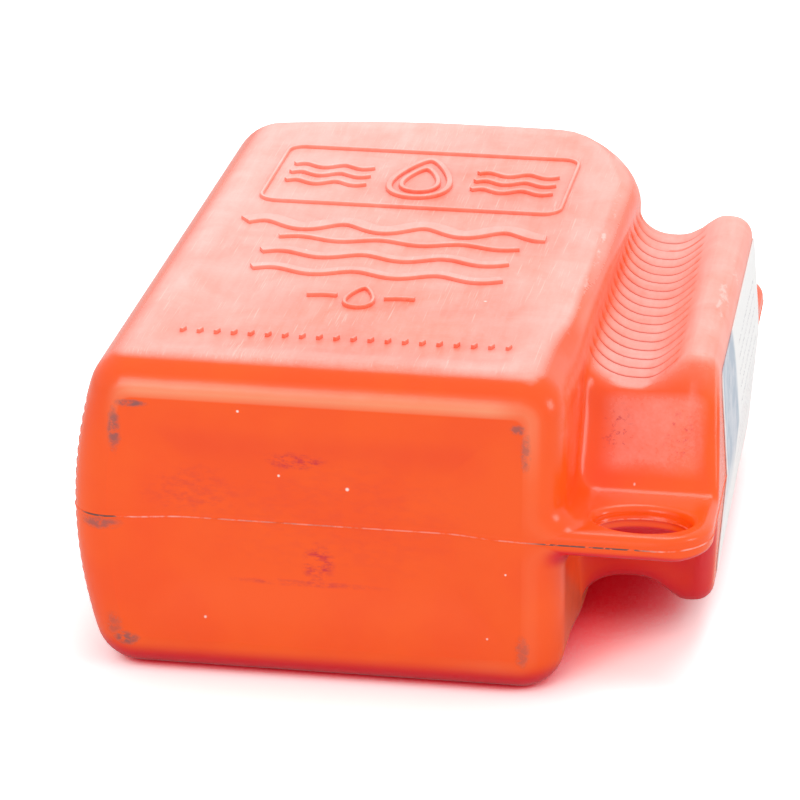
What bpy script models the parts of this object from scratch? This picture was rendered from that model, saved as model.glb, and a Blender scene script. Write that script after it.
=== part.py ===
"""One-litre blow-moulded oil bottle with a side grip, lying on its back panel.

All lengths below are millimetres in the mould frame: X runs from the closed
side to the grip, Y from the base to the neck, and Z = 0 is the parting plane
of the two mould halves. LIFT and the centre shifts place that frame on +Z.
"""

import math

import bmesh
import bpy
from mathutils import Vector

MM = 0.001

# Tank
HALF_THICKNESS = 35.0
WALL_LEFT = 49.7
PILLOW_BULGE = 3.6
PILLOW_HALF_HEIGHT = HALF_THICKNESS - 9.0
WALL_RIGHT = 50.0
EDGE_RADIUS_LEFT = 10.0
EDGE_RADIUS_LEFT_LEAST = 3.0
EDGE_RADIUS_RIGHT = 9.0
EDGE_RADIUS_RIGHT_LEAST = 2.0
BASE_RADIUS = 8.0
LENGTH = 177.0
SHOULDER_RADIUS = 10.0
SHOULDER_CORNER_X = 32.0
SHOULDER_CORNER_Y = 38.0
SHOULDER_ARCH = 6.5
SHOULDER_ARCH_CREST_X = 4.0
SHOULDER_ARCH_WIDTH = WALL_RIGHT - SHOULDER_ARCH_CREST_X
SHOULDER_SHIFT_START = LENGTH - 59.0
SHOULDER_SHIFT_END = LENGTH - 11.0
WALL_THICKNESS = 1.2

# Base push-up
RIM_WIDTH = 4.0
RIM_SLOPE = 7.0
PUSH_UP_DEPTH = 3.0
CENTRE_LINE_SHARE = 0.62
CENTRE_LINE_EVENNESS = 0.75
RING_SHARE_MOST = 0.92
WEB_RING_SHARES = (0.72, 0.93)

# Grip and web
GRIP_WIDTH = 30.2
OUTLINE_RIGHT = WALL_RIGHT + GRIP_WIDTH
GRIP_MIDDLE_Y = 90.0
GRIP_TAPER = 0.014
GRIP_LEAN = 0.03
WEB_HALF_THICKNESS = 2.75
WEB_EDGE_RADIUS = 0.8
WEB_FILLET = 5.0
PINCH_HEIGHT = WEB_HALF_THICKNESS + 3.25
FOOT_STEP = 0.4
WALL_LEAST = 0.4
NEAR_CORNER_RADIUS = 11.0
FAR_CORNER_RADIUS = 13.0
FAR_EDGE_DROP = 7.0
FAR_EDGE_START_X = 14.0
FAR_EDGE_WIDTH = 50.0
CHANNEL_X = WALL_RIGHT + 9.8
CHANNEL_HEIGHT = HALF_THICKNESS - 13.3
CHANNEL_HOLLOW = 0.9
CHANNEL_FILLET = 7.0
RIDGE_X = OUTLINE_RIGHT - 9.0
RIDGE_HEIGHT = HALF_THICKNESS - 6.6
RIDGE_CROWN = 2.0
RIDGE_EDGE_RADIUS = 4.3
RIDGE_EDGE_GROWTH = 12.0
RIDGE_EDGE_SETBACK = 6.2
FACE_DRAFT = 0.075
SLOPE = 1.6
SLOPE_NEAR_FOOT = 24.2
SLOPE_FAR_FOOT = LENGTH - 26.6
SLOPE_LENGTH = (RIDGE_HEIGHT - WEB_HALF_THICKNESS) / SLOPE
SLOPE_BLEND = 1.6
SLOPE_FOOT_BLEND = 1.0
SLOPE_FOOT_REACH = 4.0

# Hanging hole in the near web
HOLE_X = 0.5 * (WALL_RIGHT + OUTLINE_RIGHT) + 0.4
HOLE_Y = 10.3
HOLE_HALF_WIDTH = 10.0
HOLE_HALF_HEIGHT = 6.6
HOLE_SEGMENTS = 32

# Neck, cap, liner and tamper band, all round the neck axis
NECK_X = -14.0
NECK_RADIUS = 14.0
NECK_FILLET = 2.2
NECK_SINK = 4.0
NECK_LENGTH = 22.0
NECK_CHAMFER = 0.6
BORE_RADIUS = NECK_RADIUS - 2.5
BORE_DEPTH = 8.0
BEAD_RADIUS = NECK_RADIUS + 1.5
BEAD_START = 6.6
BEAD_WIDTH = 1.6
BEAD_SLOPE = 0.4
CLEARANCE = 0.3
BAND_HEIGHT = 3.4
BAND_SETBACK = 0.3
BAND_CHAMFER = 0.3
CAP_WALL = 1.9
CAP_TOP_THICKNESS = 1.8
CAP_EDGE_RADIUS = 1.6
LINER_THICKNESS = 1.0
LINER_INSET = 0.1
SEAL_GAP = 0.15
ROUND_SEGMENTS = 48

# Side label on the outer face of the grip
LABEL_START = SLOPE_NEAR_FOOT + 18.8
LABEL_END = SLOPE_FAR_FOOT - 16.4
LABEL_HALF_WIDTH = RIDGE_HEIGHT - RIDGE_EDGE_RADIUS - 1.1
LABEL_THICKNESS = 0.25
LABEL_GAP = 0.1
LABEL_ROWS = 14
LABEL_COLUMNS = 8

# How far the cutters run past the faces that they cut
CUT_MARGIN = 2.0

# Number of steps along each stretch of the section, and along the bottle
SECTION_COUNTS = {
    "side": 4, "edge": 3, "panel": 3, "wall": 1, "fillet": 3,
    "floor": 1, "ridge": 7, "round": 3, "face": 2,
}
END_COUNT = 4
GRIP_COUNT = 5
SLOPE_SHARES = (-0.62, -0.25, -0.075, 0.08, 0.3, 0.55, 0.7, 0.86, 1.02, 1.17)

# Placement of the mould frame in the world
LEFT_EXTREME = WALL_LEFT + PILLOW_BULGE
ROOF_HEIGHT = NECK_LENGTH + 2.0 * SEAL_GAP + LINER_THICKNESS
CAP_TOP = LENGTH + ROOF_HEIGHT + CAP_TOP_THICKNESS
OUTLINE_WIDEST = OUTLINE_RIGHT - GRIP_TAPER * NEAR_CORNER_RADIUS
CENTRE_X = 0.5 * (OUTLINE_WIDEST - LEFT_EXTREME)
CENTRE_Y = 0.5 * CAP_TOP
LIFT = HALF_THICKNESS


# ---------------------------------------------------------------- helpers

def remove_everything():
    for old in list(bpy.data.objects):
        bpy.data.objects.remove(old, do_unlink=True)


def plastic(name, colour, roughness):
    made = bpy.data.materials.new(name)
    made.use_nodes = True
    shader = made.node_tree.nodes["Principled BSDF"]
    shader.inputs["Base Color"].default_value = (*colour, 1.0)
    shader.inputs["Roughness"].default_value = roughness
    made.diffuse_color = (*colour, 1.0)
    return made


def object_from(name, points, faces, material=None):
    """A mesh object from mould-frame points in millimetres."""
    mesh = bpy.data.meshes.new(name)
    mesh.from_pydata([Vector(p) * MM for p in points], [], faces)
    mesh.update()
    made = bpy.data.objects.new(name, mesh)
    bpy.context.scene.collection.objects.link(made)
    if material is not None:
        mesh.materials.append(material)
    return made


def weld_and_orient(thing):
    shape = bmesh.new()
    shape.from_mesh(thing.data)
    bmesh.ops.remove_doubles(shape, verts=shape.verts, dist=0.002 * MM)
    bmesh.ops.recalc_face_normals(shape, faces=shape.faces)
    shape.to_mesh(thing.data)
    shape.free()


def round_shading(thing, degrees=35.0):
    thing.data.shade_smooth()
    thing.data.set_sharp_from_angle(angle=math.radians(degrees))


def place(thing, x=0.0, y=0.0):
    thing.location = (
        (x - CENTRE_X) * MM,
        (y - CENTRE_Y) * MM,
        LIFT * MM,
    )


def revolve(name, profile, material=None):
    """Turn a closed (radius, height) outline round the local Y axis."""
    shape = bmesh.new()
    ring = [shape.verts.new(Vector((r, h, 0.0)) * MM) for r, h in profile]
    edges = []
    for here, there in zip(ring, ring[1:] + ring[:1]):
        if here.co.x > 1e-9 or there.co.x > 1e-9:
            edges.append(shape.edges.new((here, there)))
    bmesh.ops.spin(
        shape,
        geom=ring + edges,
        cent=(0.0, 0.0, 0.0),
        axis=(0.0, 1.0, 0.0),
        angle=2.0 * math.pi,
        steps=ROUND_SEGMENTS,
        use_merge=True,
    )
    bmesh.ops.remove_doubles(shape, verts=shape.verts, dist=0.002 * MM)
    bmesh.ops.recalc_face_normals(shape, faces=shape.faces)
    mesh = bpy.data.meshes.new(name)
    shape.to_mesh(mesh)
    shape.free()
    made = bpy.data.objects.new(name, mesh)
    bpy.context.scene.collection.objects.link(made)
    if material is not None:
        mesh.materials.append(material)
    return made


def make_cutter(thing):
    thing.hide_render = True
    thing.display_type = "WIRE"


def boolean(thing, other, operation):
    made = thing.modifiers.new(other.name, "BOOLEAN")
    made.object = other
    made.operation = operation
    made.solver = "EXACT"
    make_cutter(other)


def smooth_step(value, start, end):
    share = min(1.0, max(0.0, (value - start) / (end - start)))
    return share * share * (3.0 - 2.0 * share)


def smooth_min(a, b, blend):
    return 0.5 * (a + b - math.hypot(a - b, blend))


def smooth_max(a, b, blend):
    return 0.5 * (a + b + math.hypot(a - b, blend))


def shares(count):
    """count equal steps from just above 0 to 1."""
    return [(k + 1) / count for k in range(count)]


# ------------------------------------------------------- shape of the mould

def tank_right(y):
    """X of the tank's right wall, with its large shoulder corner."""
    start = LENGTH - SHOULDER_CORNER_Y
    if y <= start:
        return WALL_RIGHT
    share = min(1.0, (y - start) / SHOULDER_CORNER_Y)
    return WALL_RIGHT - SHOULDER_CORNER_X * (1.0 - math.sqrt(1.0 - share * share))


def outline_right(y):
    """X of the parting outline on the grip side."""
    edge = OUTLINE_RIGHT - GRIP_TAPER * max(y, NEAR_CORNER_RADIUS)
    if y < NEAR_CORNER_RADIUS:
        drop = NEAR_CORNER_RADIUS - y
        reach = math.sqrt(NEAR_CORNER_RADIUS ** 2 - drop * drop)
        return edge - NEAR_CORNER_RADIUS + reach
    drop = y - (LENGTH - FAR_CORNER_RADIUS)
    if drop > 0.0:
        reach = math.sqrt(max(0.0, FAR_CORNER_RADIUS ** 2 - drop * drop))
        return edge - FAR_CORNER_RADIUS + reach
    return edge


def grip_lean(y):
    """How far the channel and the ridge stand to the right at station y."""
    return -GRIP_LEAN * (y - GRIP_MIDDLE_Y)


def ridge_profile(x):
    """Height of the finger channel and ridge over the parting plane."""
    across = (x - CHANNEL_X) / (RIDGE_X - CHANNEL_X)
    if across <= 0.0:
        return CHANNEL_HEIGHT + CHANNEL_HOLLOW * across * across
    rise = RIDGE_HEIGHT - CHANNEL_HEIGHT
    if across < 1.0:
        return CHANNEL_HEIGHT + rise * across * across * (3.0 - 2.0 * across)
    return RIDGE_HEIGHT - RIDGE_CROWN * (across - 1.0) ** 2


def slope_ceiling(y):
    """Height that the two sloped ends of the grip leave free."""
    return WEB_HALF_THICKNESS + SLOPE * min(y - SLOPE_NEAR_FOOT, SLOPE_FAR_FOOT - y)


def grip_height(x, y):
    ceiling = slope_ceiling(y)
    if ceiling < WEB_HALF_THICKNESS - SLOPE_FOOT_REACH:
        return WEB_HALF_THICKNESS
    free = smooth_min(ridge_profile(x - grip_lean(y)), ceiling, SLOPE_BLEND)
    return smooth_max(free, WEB_HALF_THICKNESS, SLOPE_FOOT_BLEND)


def section(y, inset):
    """Half outline in the XZ plane at station y, from the left parting point
    over the panel and the grip to the right parting point."""
    counts = SECTION_COUNTS
    line = []
    top = HALF_THICKNESS - inset
    radius = max(EDGE_RADIUS_LEFT - inset, EDGE_RADIUS_LEFT_LEAST)
    arc_height = top - radius

    def pillow(z):
        return inset - WALL_LEFT - PILLOW_BULGE * (1.0 - (z / PILLOW_HALF_HEIGHT) ** 2)

    tilt = math.atan(2.0 * PILLOW_BULGE * arc_height / PILLOW_HALF_HEIGHT ** 2)
    start = arc_height + radius * math.sin(tilt)
    line.append((pillow(0.0), 0.0))
    for share in shares(counts["side"]):
        line.append((pillow(start * share), start * share))
    centre = pillow(start) + radius * math.cos(tilt)
    for share in shares(counts["edge"]):
        angle = math.pi - tilt - share * (0.5 * math.pi - tilt)
        line.append((centre + radius * math.cos(angle), arc_height + radius * math.sin(angle)))
    wall = tank_right(y) - inset
    radius = max(EDGE_RADIUS_RIGHT - inset, EDGE_RADIUS_RIGHT_LEAST)
    for share in shares(counts["panel"]):
        line.append((centre + share * (wall - radius - centre), top))
    for share in shares(counts["edge"]):
        angle = 0.5 * math.pi * (1.0 - share)
        line.append((
            wall - radius + radius * math.cos(angle),
            top - radius + radius * math.sin(angle),
        ))
    edge_height = max(0.0, min(1.0, min(y, LENGTH - y) / WEB_EDGE_RADIUS))
    web_drop = WEB_EDGE_RADIUS * (1.0 - math.sqrt(1.0 - (1.0 - edge_height) ** 2))
    foot = grip_height(CHANNEL_X + grip_lean(y), y) - web_drop
    lifted = (foot - WEB_HALF_THICKNESS) / (CHANNEL_HEIGHT - WEB_HALF_THICKNESS)
    fillet = WEB_FILLET + (CHANNEL_FILLET - WEB_FILLET) * min(1.0, max(0.0, lifted))
    high = top - radius
    rise = min(fillet, high - foot - WALL_LEAST)
    low = foot + rise
    for share in shares(counts["wall"]):
        line.append((wall, high + share * (low - high)))
    for share in shares(counts["fillet"]):
        angle = 0.5 * math.pi * share
        line.append((
            wall + fillet * (1.0 - math.cos(angle)),
            foot + rise * (1.0 - math.sin(angle)),
        ))
    outline = outline_right(y)
    lean = grip_lean(y)
    crest = grip_height(RIDGE_X + lean, y) - web_drop
    raised = min(1.0, max(0.0, (crest - WEB_HALF_THICKNESS) / RIDGE_EDGE_GROWTH))
    edge = WEB_EDGE_RADIUS + (RIDGE_EDGE_RADIUS - WEB_EDGE_RADIUS) * raised
    edge_drop = min(edge, 0.5 * crest)
    face_top = outline - FACE_DRAFT * (crest - edge_drop)
    start = wall + fillet + FOOT_STEP
    nominal_end = outline_right(GRIP_MIDDLE_Y) + lean - RIDGE_EDGE_SETBACK
    across = [start]
    across += [start + share * (CHANNEL_X + lean - start) for share in shares(counts["floor"])]
    base = across[-1]
    across += [base + share * (nominal_end - base) for share in shares(counts["ridge"])]
    end = face_top - edge
    stretch = (end - start) / (nominal_end - start)
    for x in across:
        line.append((start + stretch * (x - start), grip_height(x, y) - web_drop))
    last = line[-1][1]
    for share in shares(counts["round"]):
        angle = 0.5 * math.pi * share
        line.append((
            end + edge * math.sin(angle),
            last - edge_drop * (1.0 - math.cos(angle)),
        ))
    low = last - edge_drop
    for share in shares(counts["face"]):
        z = low * (1.0 - share)
        line.append((outline - FACE_DRAFT * z, z))
    return line


def stations():
    """(y, inset) along the bottle; the inset rounds the base and shoulder."""
    found = []
    for share in [0.0] + shares(END_COUNT):
        angle = 0.5 * math.pi * (1.0 - share)
        found.append((
            BASE_RADIUS * (1.0 - math.sin(angle)),
            BASE_RADIUS * (1.0 - math.cos(angle)),
        ))
    near = [SLOPE_NEAR_FOOT + share * SLOPE_LENGTH for share in SLOPE_SHARES]
    far = [SLOPE_FAR_FOOT - share * SLOPE_LENGTH for share in reversed(SLOPE_SHARES)]
    between = [near[-1] + share * (far[0] - near[-1]) for share in shares(GRIP_COUNT)[:-1]]
    found += [(y, 0.0) for y in near + between + far]
    for share in [0.0] + shares(END_COUNT):
        angle = 0.5 * math.pi * share
        found.append((
            LENGTH - SHOULDER_RADIUS * (1.0 - math.sin(angle)),
            SHOULDER_RADIUS * (1.0 - math.cos(angle)),
        ))
    return found


def shoulder_shift(x, y):
    """How far the arched shoulder and the far edge of the web fall back."""
    weight = smooth_step(y, SHOULDER_SHIFT_START, SHOULDER_SHIFT_END)
    across = (x - SHOULDER_ARCH_CREST_X) / SHOULDER_ARCH_WIDTH
    if across < 0.0:
        return -weight * SHOULDER_ARCH * across * across
    return -weight * FAR_EDGE_DROP * max(0.0, (x - FAR_EDGE_START_X) / FAR_EDGE_WIDTH) ** 2


def end_cap(points, foot, wall_index, line, first, level, depth):
    """Close the end at station level: each outline point runs to the parting plane."""
    count = len(line)
    rings = [list(range(first, first + count))]
    distances = [RIM_WIDTH, RIM_WIDTH + RIM_SLOPE] if depth > 0.0 else []
    targets = []
    wall = line[wall_index][0]
    for index, start in enumerate(line):
        x = start[0]
        if index <= foot:
            share = index / foot
            left, right = line[0][0], line[foot][0]
            reach = 0.5 * (right - left) * CENTRE_LINE_SHARE
            middle = 0.5 * (left + right)
            local = (x - middle) / (0.5 * (right - left))
            even = 2.0 * share - 1.0
            spread = local + CENTRE_LINE_EVENNESS * (even - local)
            x = middle + reach * spread
        elif index == foot + 1:
            x = wall - RIM_WIDTH
        targets.append((x, level + shoulder_shift(x, level), 0.0))
    for web_share, distance in zip(WEB_RING_SHARES, distances):
        ring = []
        for index, (start, end) in enumerate(zip(line, targets)):
            if index > foot:
                share = web_share
                sunk = 0.0
            else:
                flare = max(0.0, start[0] - wall)
                share = min(RING_SHARE_MOST, (distance + flare) / math.dist(start, end))
                sunk = depth if distance > RIM_WIDTH else 0.0
            point = [a + share * (b - a) for a, b in zip(start, end)]
            point[1] += sunk
            ring.append(len(points))
            points.append(tuple(point))
        rings.append(ring)
    ring = []
    for index, end in enumerate(targets):
        sunk = depth if index <= foot else 0.0
        ring.append(len(points))
        points.append((end[0], end[1] + sunk, 0.0))
    rings.append(ring)
    return rings


def half_skin():
    """Points and faces of the upper mould half, open on the parting plane."""
    points = []
    faces = []
    grid = []
    foot = sum(SECTION_COUNTS[k] for k in ("side", "edge", "panel", "edge", "wall", "fillet"))
    wall_index = foot - SECTION_COUNTS["fillet"]
    for y, inset in stations():
        row = []
        for x, z in section(y, inset):
            row.append(len(points))
            points.append((x, y + shoulder_shift(x, y), z))
        grid.append(row)
    for lower, upper in zip(grid, grid[1:]):
        for k in range(len(lower) - 1):
            faces.append((lower[k], lower[k + 1], upper[k + 1], upper[k]))
    for row, level, depth in ((grid[0], 0.0, PUSH_UP_DEPTH), (grid[-1], LENGTH, 0.0)):
        line = [points[k] for k in row]
        rings = end_cap(points, foot, wall_index, line, row[0], level, depth)
        for outer, inner in zip(rings, rings[1:]):
            for k in range(len(outer) - 1):
                faces.append((outer[k], outer[k + 1], inner[k + 1], inner[k]))
    return points, faces


def mirror_halves(thing):
    made = thing.modifiers.new("second mould half", "MIRROR")
    made.use_axis = (False, False, True)
    made.use_clip = True
    made.merge_threshold = 0.01 * MM


def outer_skin(material):
    points, faces = half_skin()
    made = object_from("bottle", points, faces, material)
    weld_and_orient(made)
    mirror_halves(made)
    return made


def cavity_cutter():
    """The outer half moved inwards by the wall; the pinched web has none."""
    points, faces = half_skin()
    made = object_from("cavity cutter", points, faces)
    weld_and_orient(made)
    shape = bmesh.new()
    shape.from_mesh(made.data)
    shape.normal_update()
    moves = [(v, v.co - v.normal * WALL_THICKNESS * MM) for v in shape.verts]
    for vertex, target in moves:
        vertex.co = target
    bmesh.ops.bisect_plane(
        shape,
        geom=shape.verts[:] + shape.edges[:] + shape.faces[:],
        dist=1e-7,
        plane_co=(0.0, 0.0, PINCH_HEIGHT * MM),
        plane_no=(0.0, 0.0, 1.0),
        clear_inner=True,
    )
    for vertex in shape.verts:
        if vertex.is_boundary:
            vertex.co.z = 0.0
    shape.to_mesh(made.data)
    shape.free()
    mirror_halves(made)
    return made


def neck_solid():
    bead_end = BEAD_START + BEAD_WIDTH
    profile = [(0.0, -NECK_SINK), (NECK_RADIUS + NECK_FILLET, -NECK_SINK)]
    for share in [0.0] + shares(3):
        angle = 0.5 * math.pi * share
        profile.append((
            NECK_RADIUS + NECK_FILLET * (1.0 - math.sin(angle)),
            NECK_FILLET * (1.0 - math.cos(angle)),
        ))
    profile += [
        (NECK_RADIUS, BEAD_START),
        (BEAD_RADIUS, BEAD_START + BEAD_SLOPE),
        (BEAD_RADIUS, bead_end - BEAD_SLOPE),
        (NECK_RADIUS, bead_end),
        (NECK_RADIUS, NECK_LENGTH - NECK_CHAMFER),
        (NECK_RADIUS - NECK_CHAMFER, NECK_LENGTH),
        (0.0, NECK_LENGTH),
    ]
    return revolve("neck blank", profile)


def bore_cutter():
    profile = [
        (0.0, -BORE_DEPTH),
        (BORE_RADIUS, -BORE_DEPTH),
        (BORE_RADIUS, NECK_LENGTH + CUT_MARGIN),
        (0.0, NECK_LENGTH + CUT_MARGIN),
    ]
    return revolve("bore cutter", profile)


def hole_cutter():
    """Oval prism through the web."""
    count = HOLE_SEGMENTS
    reach = WEB_HALF_THICKNESS + CUT_MARGIN
    points = []
    for z in (-reach, reach):
        for k in range(count):
            angle = 2.0 * math.pi * k / count
            points.append((
                HOLE_X + HOLE_HALF_WIDTH * math.cos(angle),
                HOLE_Y + HOLE_HALF_HEIGHT * math.sin(angle),
                z,
            ))
    faces = [tuple(range(count))[::-1], tuple(range(count, 2 * count))]
    for k in range(count):
        after = (k + 1) % count
        faces.append((k, after, count + after, count + k))
    made = object_from("hole cutter", points, faces)
    weld_and_orient(made)
    return made


def build_bottle():
    material = plastic("orange_red_polyethylene", (1.0, 0.085, 0.018), 0.38)
    bottle = outer_skin(material)
    place(bottle)
    half_segment = math.pi / ROUND_SEGMENTS
    neck = neck_solid()
    place(neck, x=NECK_X, y=LENGTH)
    neck.rotation_euler.y = half_segment
    boolean(bottle, neck, "UNION")
    cavity = cavity_cutter()
    place(cavity)
    boolean(bottle, cavity, "DIFFERENCE")
    bore = bore_cutter()
    place(bore, x=NECK_X, y=LENGTH)
    bore.rotation_euler.y = half_segment
    boolean(bottle, bore, "DIFFERENCE")
    hole = hole_cutter()
    place(hole)
    boolean(bottle, hole, "DIFFERENCE")
    round_shading(bottle, 40.0)
    return bottle


# ------------------------------------------------------ cap, liner and band

def build_cap():
    material = plastic("white_polypropylene", (0.80, 0.79, 0.76), 0.42)
    inner = BEAD_RADIUS + CLEARANCE
    outer = inner + CAP_WALL
    skirt = NECK_FILLET + 2.0 * CLEARANCE + BAND_HEIGHT
    top = ROOF_HEIGHT + CAP_TOP_THICKNESS
    profile = [
        (0.0, ROOF_HEIGHT),
        (inner, ROOF_HEIGHT),
        (inner, skirt),
        (outer, skirt),
        (outer, top - CAP_EDGE_RADIUS),
    ]
    for share in shares(3):
        angle = 0.5 * math.pi * share
        profile.append((
            outer - CAP_EDGE_RADIUS * (1.0 - math.cos(angle)),
            top - CAP_EDGE_RADIUS * (1.0 - math.sin(angle)),
        ))
    profile.append((0.0, top))
    cap = revolve("cap", profile, material)
    round_shading(cap)
    place(cap, x=NECK_X, y=LENGTH)
    return cap


def build_liner():
    material = plastic("white_foam_liner", (0.86, 0.86, 0.84), 0.62)
    radius = BEAD_RADIUS - LINER_INSET
    start = NECK_LENGTH + SEAL_GAP
    end = start + LINER_THICKNESS
    liner = revolve("cap_liner", [(0.0, start), (radius, start), (radius, end), (0.0, end)], material)
    round_shading(liner)
    place(liner, x=NECK_X, y=LENGTH)
    return liner


def build_band():
    material = plastic("white_polypropylene_band", (0.80, 0.79, 0.76), 0.42)
    inner = NECK_RADIUS + CLEARANCE
    outer = BEAD_RADIUS + CLEARANCE + CAP_WALL - BAND_SETBACK
    start = NECK_FILLET + CLEARANCE
    end = start + BAND_HEIGHT
    profile = [
        (inner, start + BAND_CHAMFER),
        (inner + BAND_CHAMFER, start),
        (outer - BAND_CHAMFER, start),
        (outer, start + BAND_CHAMFER),
        (outer, end),
        (inner, end),
    ]
    band = revolve("tamper_band", profile, material)
    round_shading(band)
    place(band, x=NECK_X, y=LENGTH)
    return band


# -------------------------------------------------------------- side label

def build_label():
    """A film that follows the right face of the grip across the parting plane."""
    material = plastic("white_label_film", (0.84, 0.85, 0.87), 0.5)
    layers = []
    for lift in (LABEL_GAP, LABEL_GAP + LABEL_THICKNESS):
        layer = []
        for row in range(LABEL_ROWS + 1):
            y = LABEL_START + (LABEL_END - LABEL_START) * row / LABEL_ROWS
            for column in range(LABEL_COLUMNS + 1):
                z = LABEL_HALF_WIDTH * (2.0 * column / LABEL_COLUMNS - 1.0)
                layer.append((outline_right(y) - FACE_DRAFT * abs(z) + lift, y, z))
        layers.append(layer)
    points = layers[0] + layers[1]
    size = len(layers[0])
    across = LABEL_COLUMNS + 1
    faces = []
    for row in range(LABEL_ROWS):
        for column in range(LABEL_COLUMNS):
            a = row * across + column
            quad = (a, a + 1, a + 1 + across, a + across)
            faces.append(quad)
            faces.append(tuple(size + k for k in reversed(quad)))
    for row in range(LABEL_ROWS):
        for column in (0, LABEL_COLUMNS):
            a = row * across + column
            faces.append((a, a + across, size + a + across, size + a))
    for column in range(LABEL_COLUMNS):
        for row in (0, LABEL_ROWS):
            a = row * across + column
            faces.append((a, a + 1, size + a + 1, size + a))
    label = object_from("side_label", points, faces, material)
    weld_and_orient(label)
    place(label)
    return label


def main():
    remove_everything()
    build_bottle()
    build_cap()
    build_liner()
    build_band()
    build_label()


main()
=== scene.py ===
"""Dressed model of a one-litre blow-moulded oil bottle that lies on its back panel.

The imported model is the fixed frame. Every length in the shape functions is a
millimetre in the mould frame: X runs from the closed side to the grip, Y from
the base to the neck, and Z = 0 is the parting plane of the two mould halves.
"""

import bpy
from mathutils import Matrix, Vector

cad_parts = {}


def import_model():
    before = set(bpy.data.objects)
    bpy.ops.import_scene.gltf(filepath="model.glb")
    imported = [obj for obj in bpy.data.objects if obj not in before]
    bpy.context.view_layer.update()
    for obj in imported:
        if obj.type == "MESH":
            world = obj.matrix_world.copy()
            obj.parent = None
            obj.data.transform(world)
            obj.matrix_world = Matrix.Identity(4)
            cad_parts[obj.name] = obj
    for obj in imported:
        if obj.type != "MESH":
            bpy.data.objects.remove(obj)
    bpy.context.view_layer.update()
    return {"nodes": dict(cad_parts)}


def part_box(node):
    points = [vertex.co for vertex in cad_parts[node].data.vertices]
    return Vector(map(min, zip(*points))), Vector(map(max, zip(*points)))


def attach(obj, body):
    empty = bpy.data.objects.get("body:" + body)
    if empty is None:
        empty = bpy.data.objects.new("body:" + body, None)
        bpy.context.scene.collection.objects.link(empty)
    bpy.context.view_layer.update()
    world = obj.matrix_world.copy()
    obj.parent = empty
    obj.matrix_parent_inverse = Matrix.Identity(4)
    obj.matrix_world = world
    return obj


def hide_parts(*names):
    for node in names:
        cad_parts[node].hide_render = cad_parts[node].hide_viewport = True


bl_info = {
    "name": "Oil bottle",
    "version": (1, 0, 0),
    "blender": (4, 5, 0),
    "location": "3D View > Sidebar > Oil bottle",
    "description": "Builds the dressed bottle, its cap and its studio round the packed model",
    "category": "Object",
}

import math

import bmesh
import bpy
from mathutils import Vector

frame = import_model()
MM = 0.001

# ------------------------------------------------------------ mould frame

# The tank's section and its two ends.
HALF_THICKNESS = 35.0
WALL_LEFT = 49.7
PILLOW_BULGE = 3.6
PILLOW_HALF_HEIGHT = HALF_THICKNESS - 9.0
WALL_RIGHT = 50.0
EDGE_RADIUS_LEFT = 10.0
EDGE_RADIUS_LEFT_LEAST = 3.0
EDGE_RADIUS_RIGHT = 9.0
EDGE_RADIUS_RIGHT_LEAST = 2.0
BASE_RADIUS = 8.0
LENGTH = 177.0
EDGE_RADIUS_CHANNEL = 5.6
CHANNEL_EDGE_NEAR = (20.0, 42.0)
CHANNEL_EDGE_FAR = (LENGTH - 48.0, LENGTH - 28.0)
SHOULDER_RADIUS = 10.0
SHOULDER_CORNER_X = 32.0
SHOULDER_CORNER_Y = 38.0
SHOULDER_ARCH = 6.5
SHOULDER_ARCH_CREST_X = 4.0
SHOULDER_ARCH_WIDTH = WALL_RIGHT - SHOULDER_ARCH_CREST_X
SHOULDER_SHIFT = (LENGTH - 59.0, LENGTH - 11.0)
SHOULDER_STEPS = (1.5, 3.5, 6.0, 9.0, 12.0, 15.0)
FOOT_RING = 8.4
FOOT_FALL = 0.3
PUSH_UP_START = 11.0
PUSH_UP_WIDTH = 14.0
PUSH_UP_DEPTH = 2.3
PUSH_UP_COUNT = 12
DEEPEST_INSET = 28.0

# The grip, its channels and ridges, and the webs at its two ends.
GRIP_WIDTH = 30.2
OUTLINE_RIGHT = WALL_RIGHT + GRIP_WIDTH
GRIP_MIDDLE_Y = 90.0
GRIP_TAPER = 0.014
GRIP_LEAN = 0.03
WEB_HALF_THICKNESS = 2.75
WEB_EDGE_RADIUS = 2.2
WEB_FILLET = 5.0
FOOT_STEP = 0.4
WALL_LEAST = 0.4
FLOOR_LEAST = 1.0
NEAR_CORNER_RADIUS = 11.0
FAR_CORNER_RADIUS = 13.0
FAR_EDGE_DROP = 7.0
FAR_EDGE_START_X = 14.0
FAR_EDGE_WIDTH = 50.0
CHANNEL_X = WALL_RIGHT + 9.8
CHANNEL_HEIGHT = HALF_THICKNESS - 13.3
CHANNEL_HOLLOW = 0.9
CHANNEL_FILLET = 9.6
RIDGE_X = OUTLINE_RIGHT - 9.0
RIDGE_HEIGHT = HALF_THICKNESS - 6.6
RIDGE_CURVE = (1.08, 1.84, -1.92)
RIDGE_CROWN = 2.0
RIDGE_EDGE_RADIUS = 4.3
RIDGE_EDGE_GROWTH = 12.0
RIDGE_EDGE_SETBACK = 6.2
FACE_DRAFT = 0.075
SLOPE = 1.6
SLOPE_NEAR_FOOT = 24.2
SLOPE_FAR_FOOT = LENGTH - 26.6
SLOPE_BLEND = 1.1
SLOPE_FOOT_BLEND = 1.0
SLOPE_FOOT_REACH = 4.0
SCOOP_DEPTH = 1.5
SCOOP_LOW = (0.04, 0.4)
SCOOP_HIGH = (0.62, 0.9)
SCOOP_LEFT = (WALL_RIGHT + 3.0, WALL_RIGHT + 11.0)
SCOOP_RIGHT = (8.0, 4.6)

HOLE_X = 0.5 * (WALL_RIGHT + OUTLINE_RIGHT) + 0.4
HOLE_Y = 10.3
HOLE_HALF_WIDTH = 10.0
HOLE_HALF_HEIGHT = 6.6
HOLE_LIP = 1.5
HOLE_SEGMENTS = 96

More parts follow.
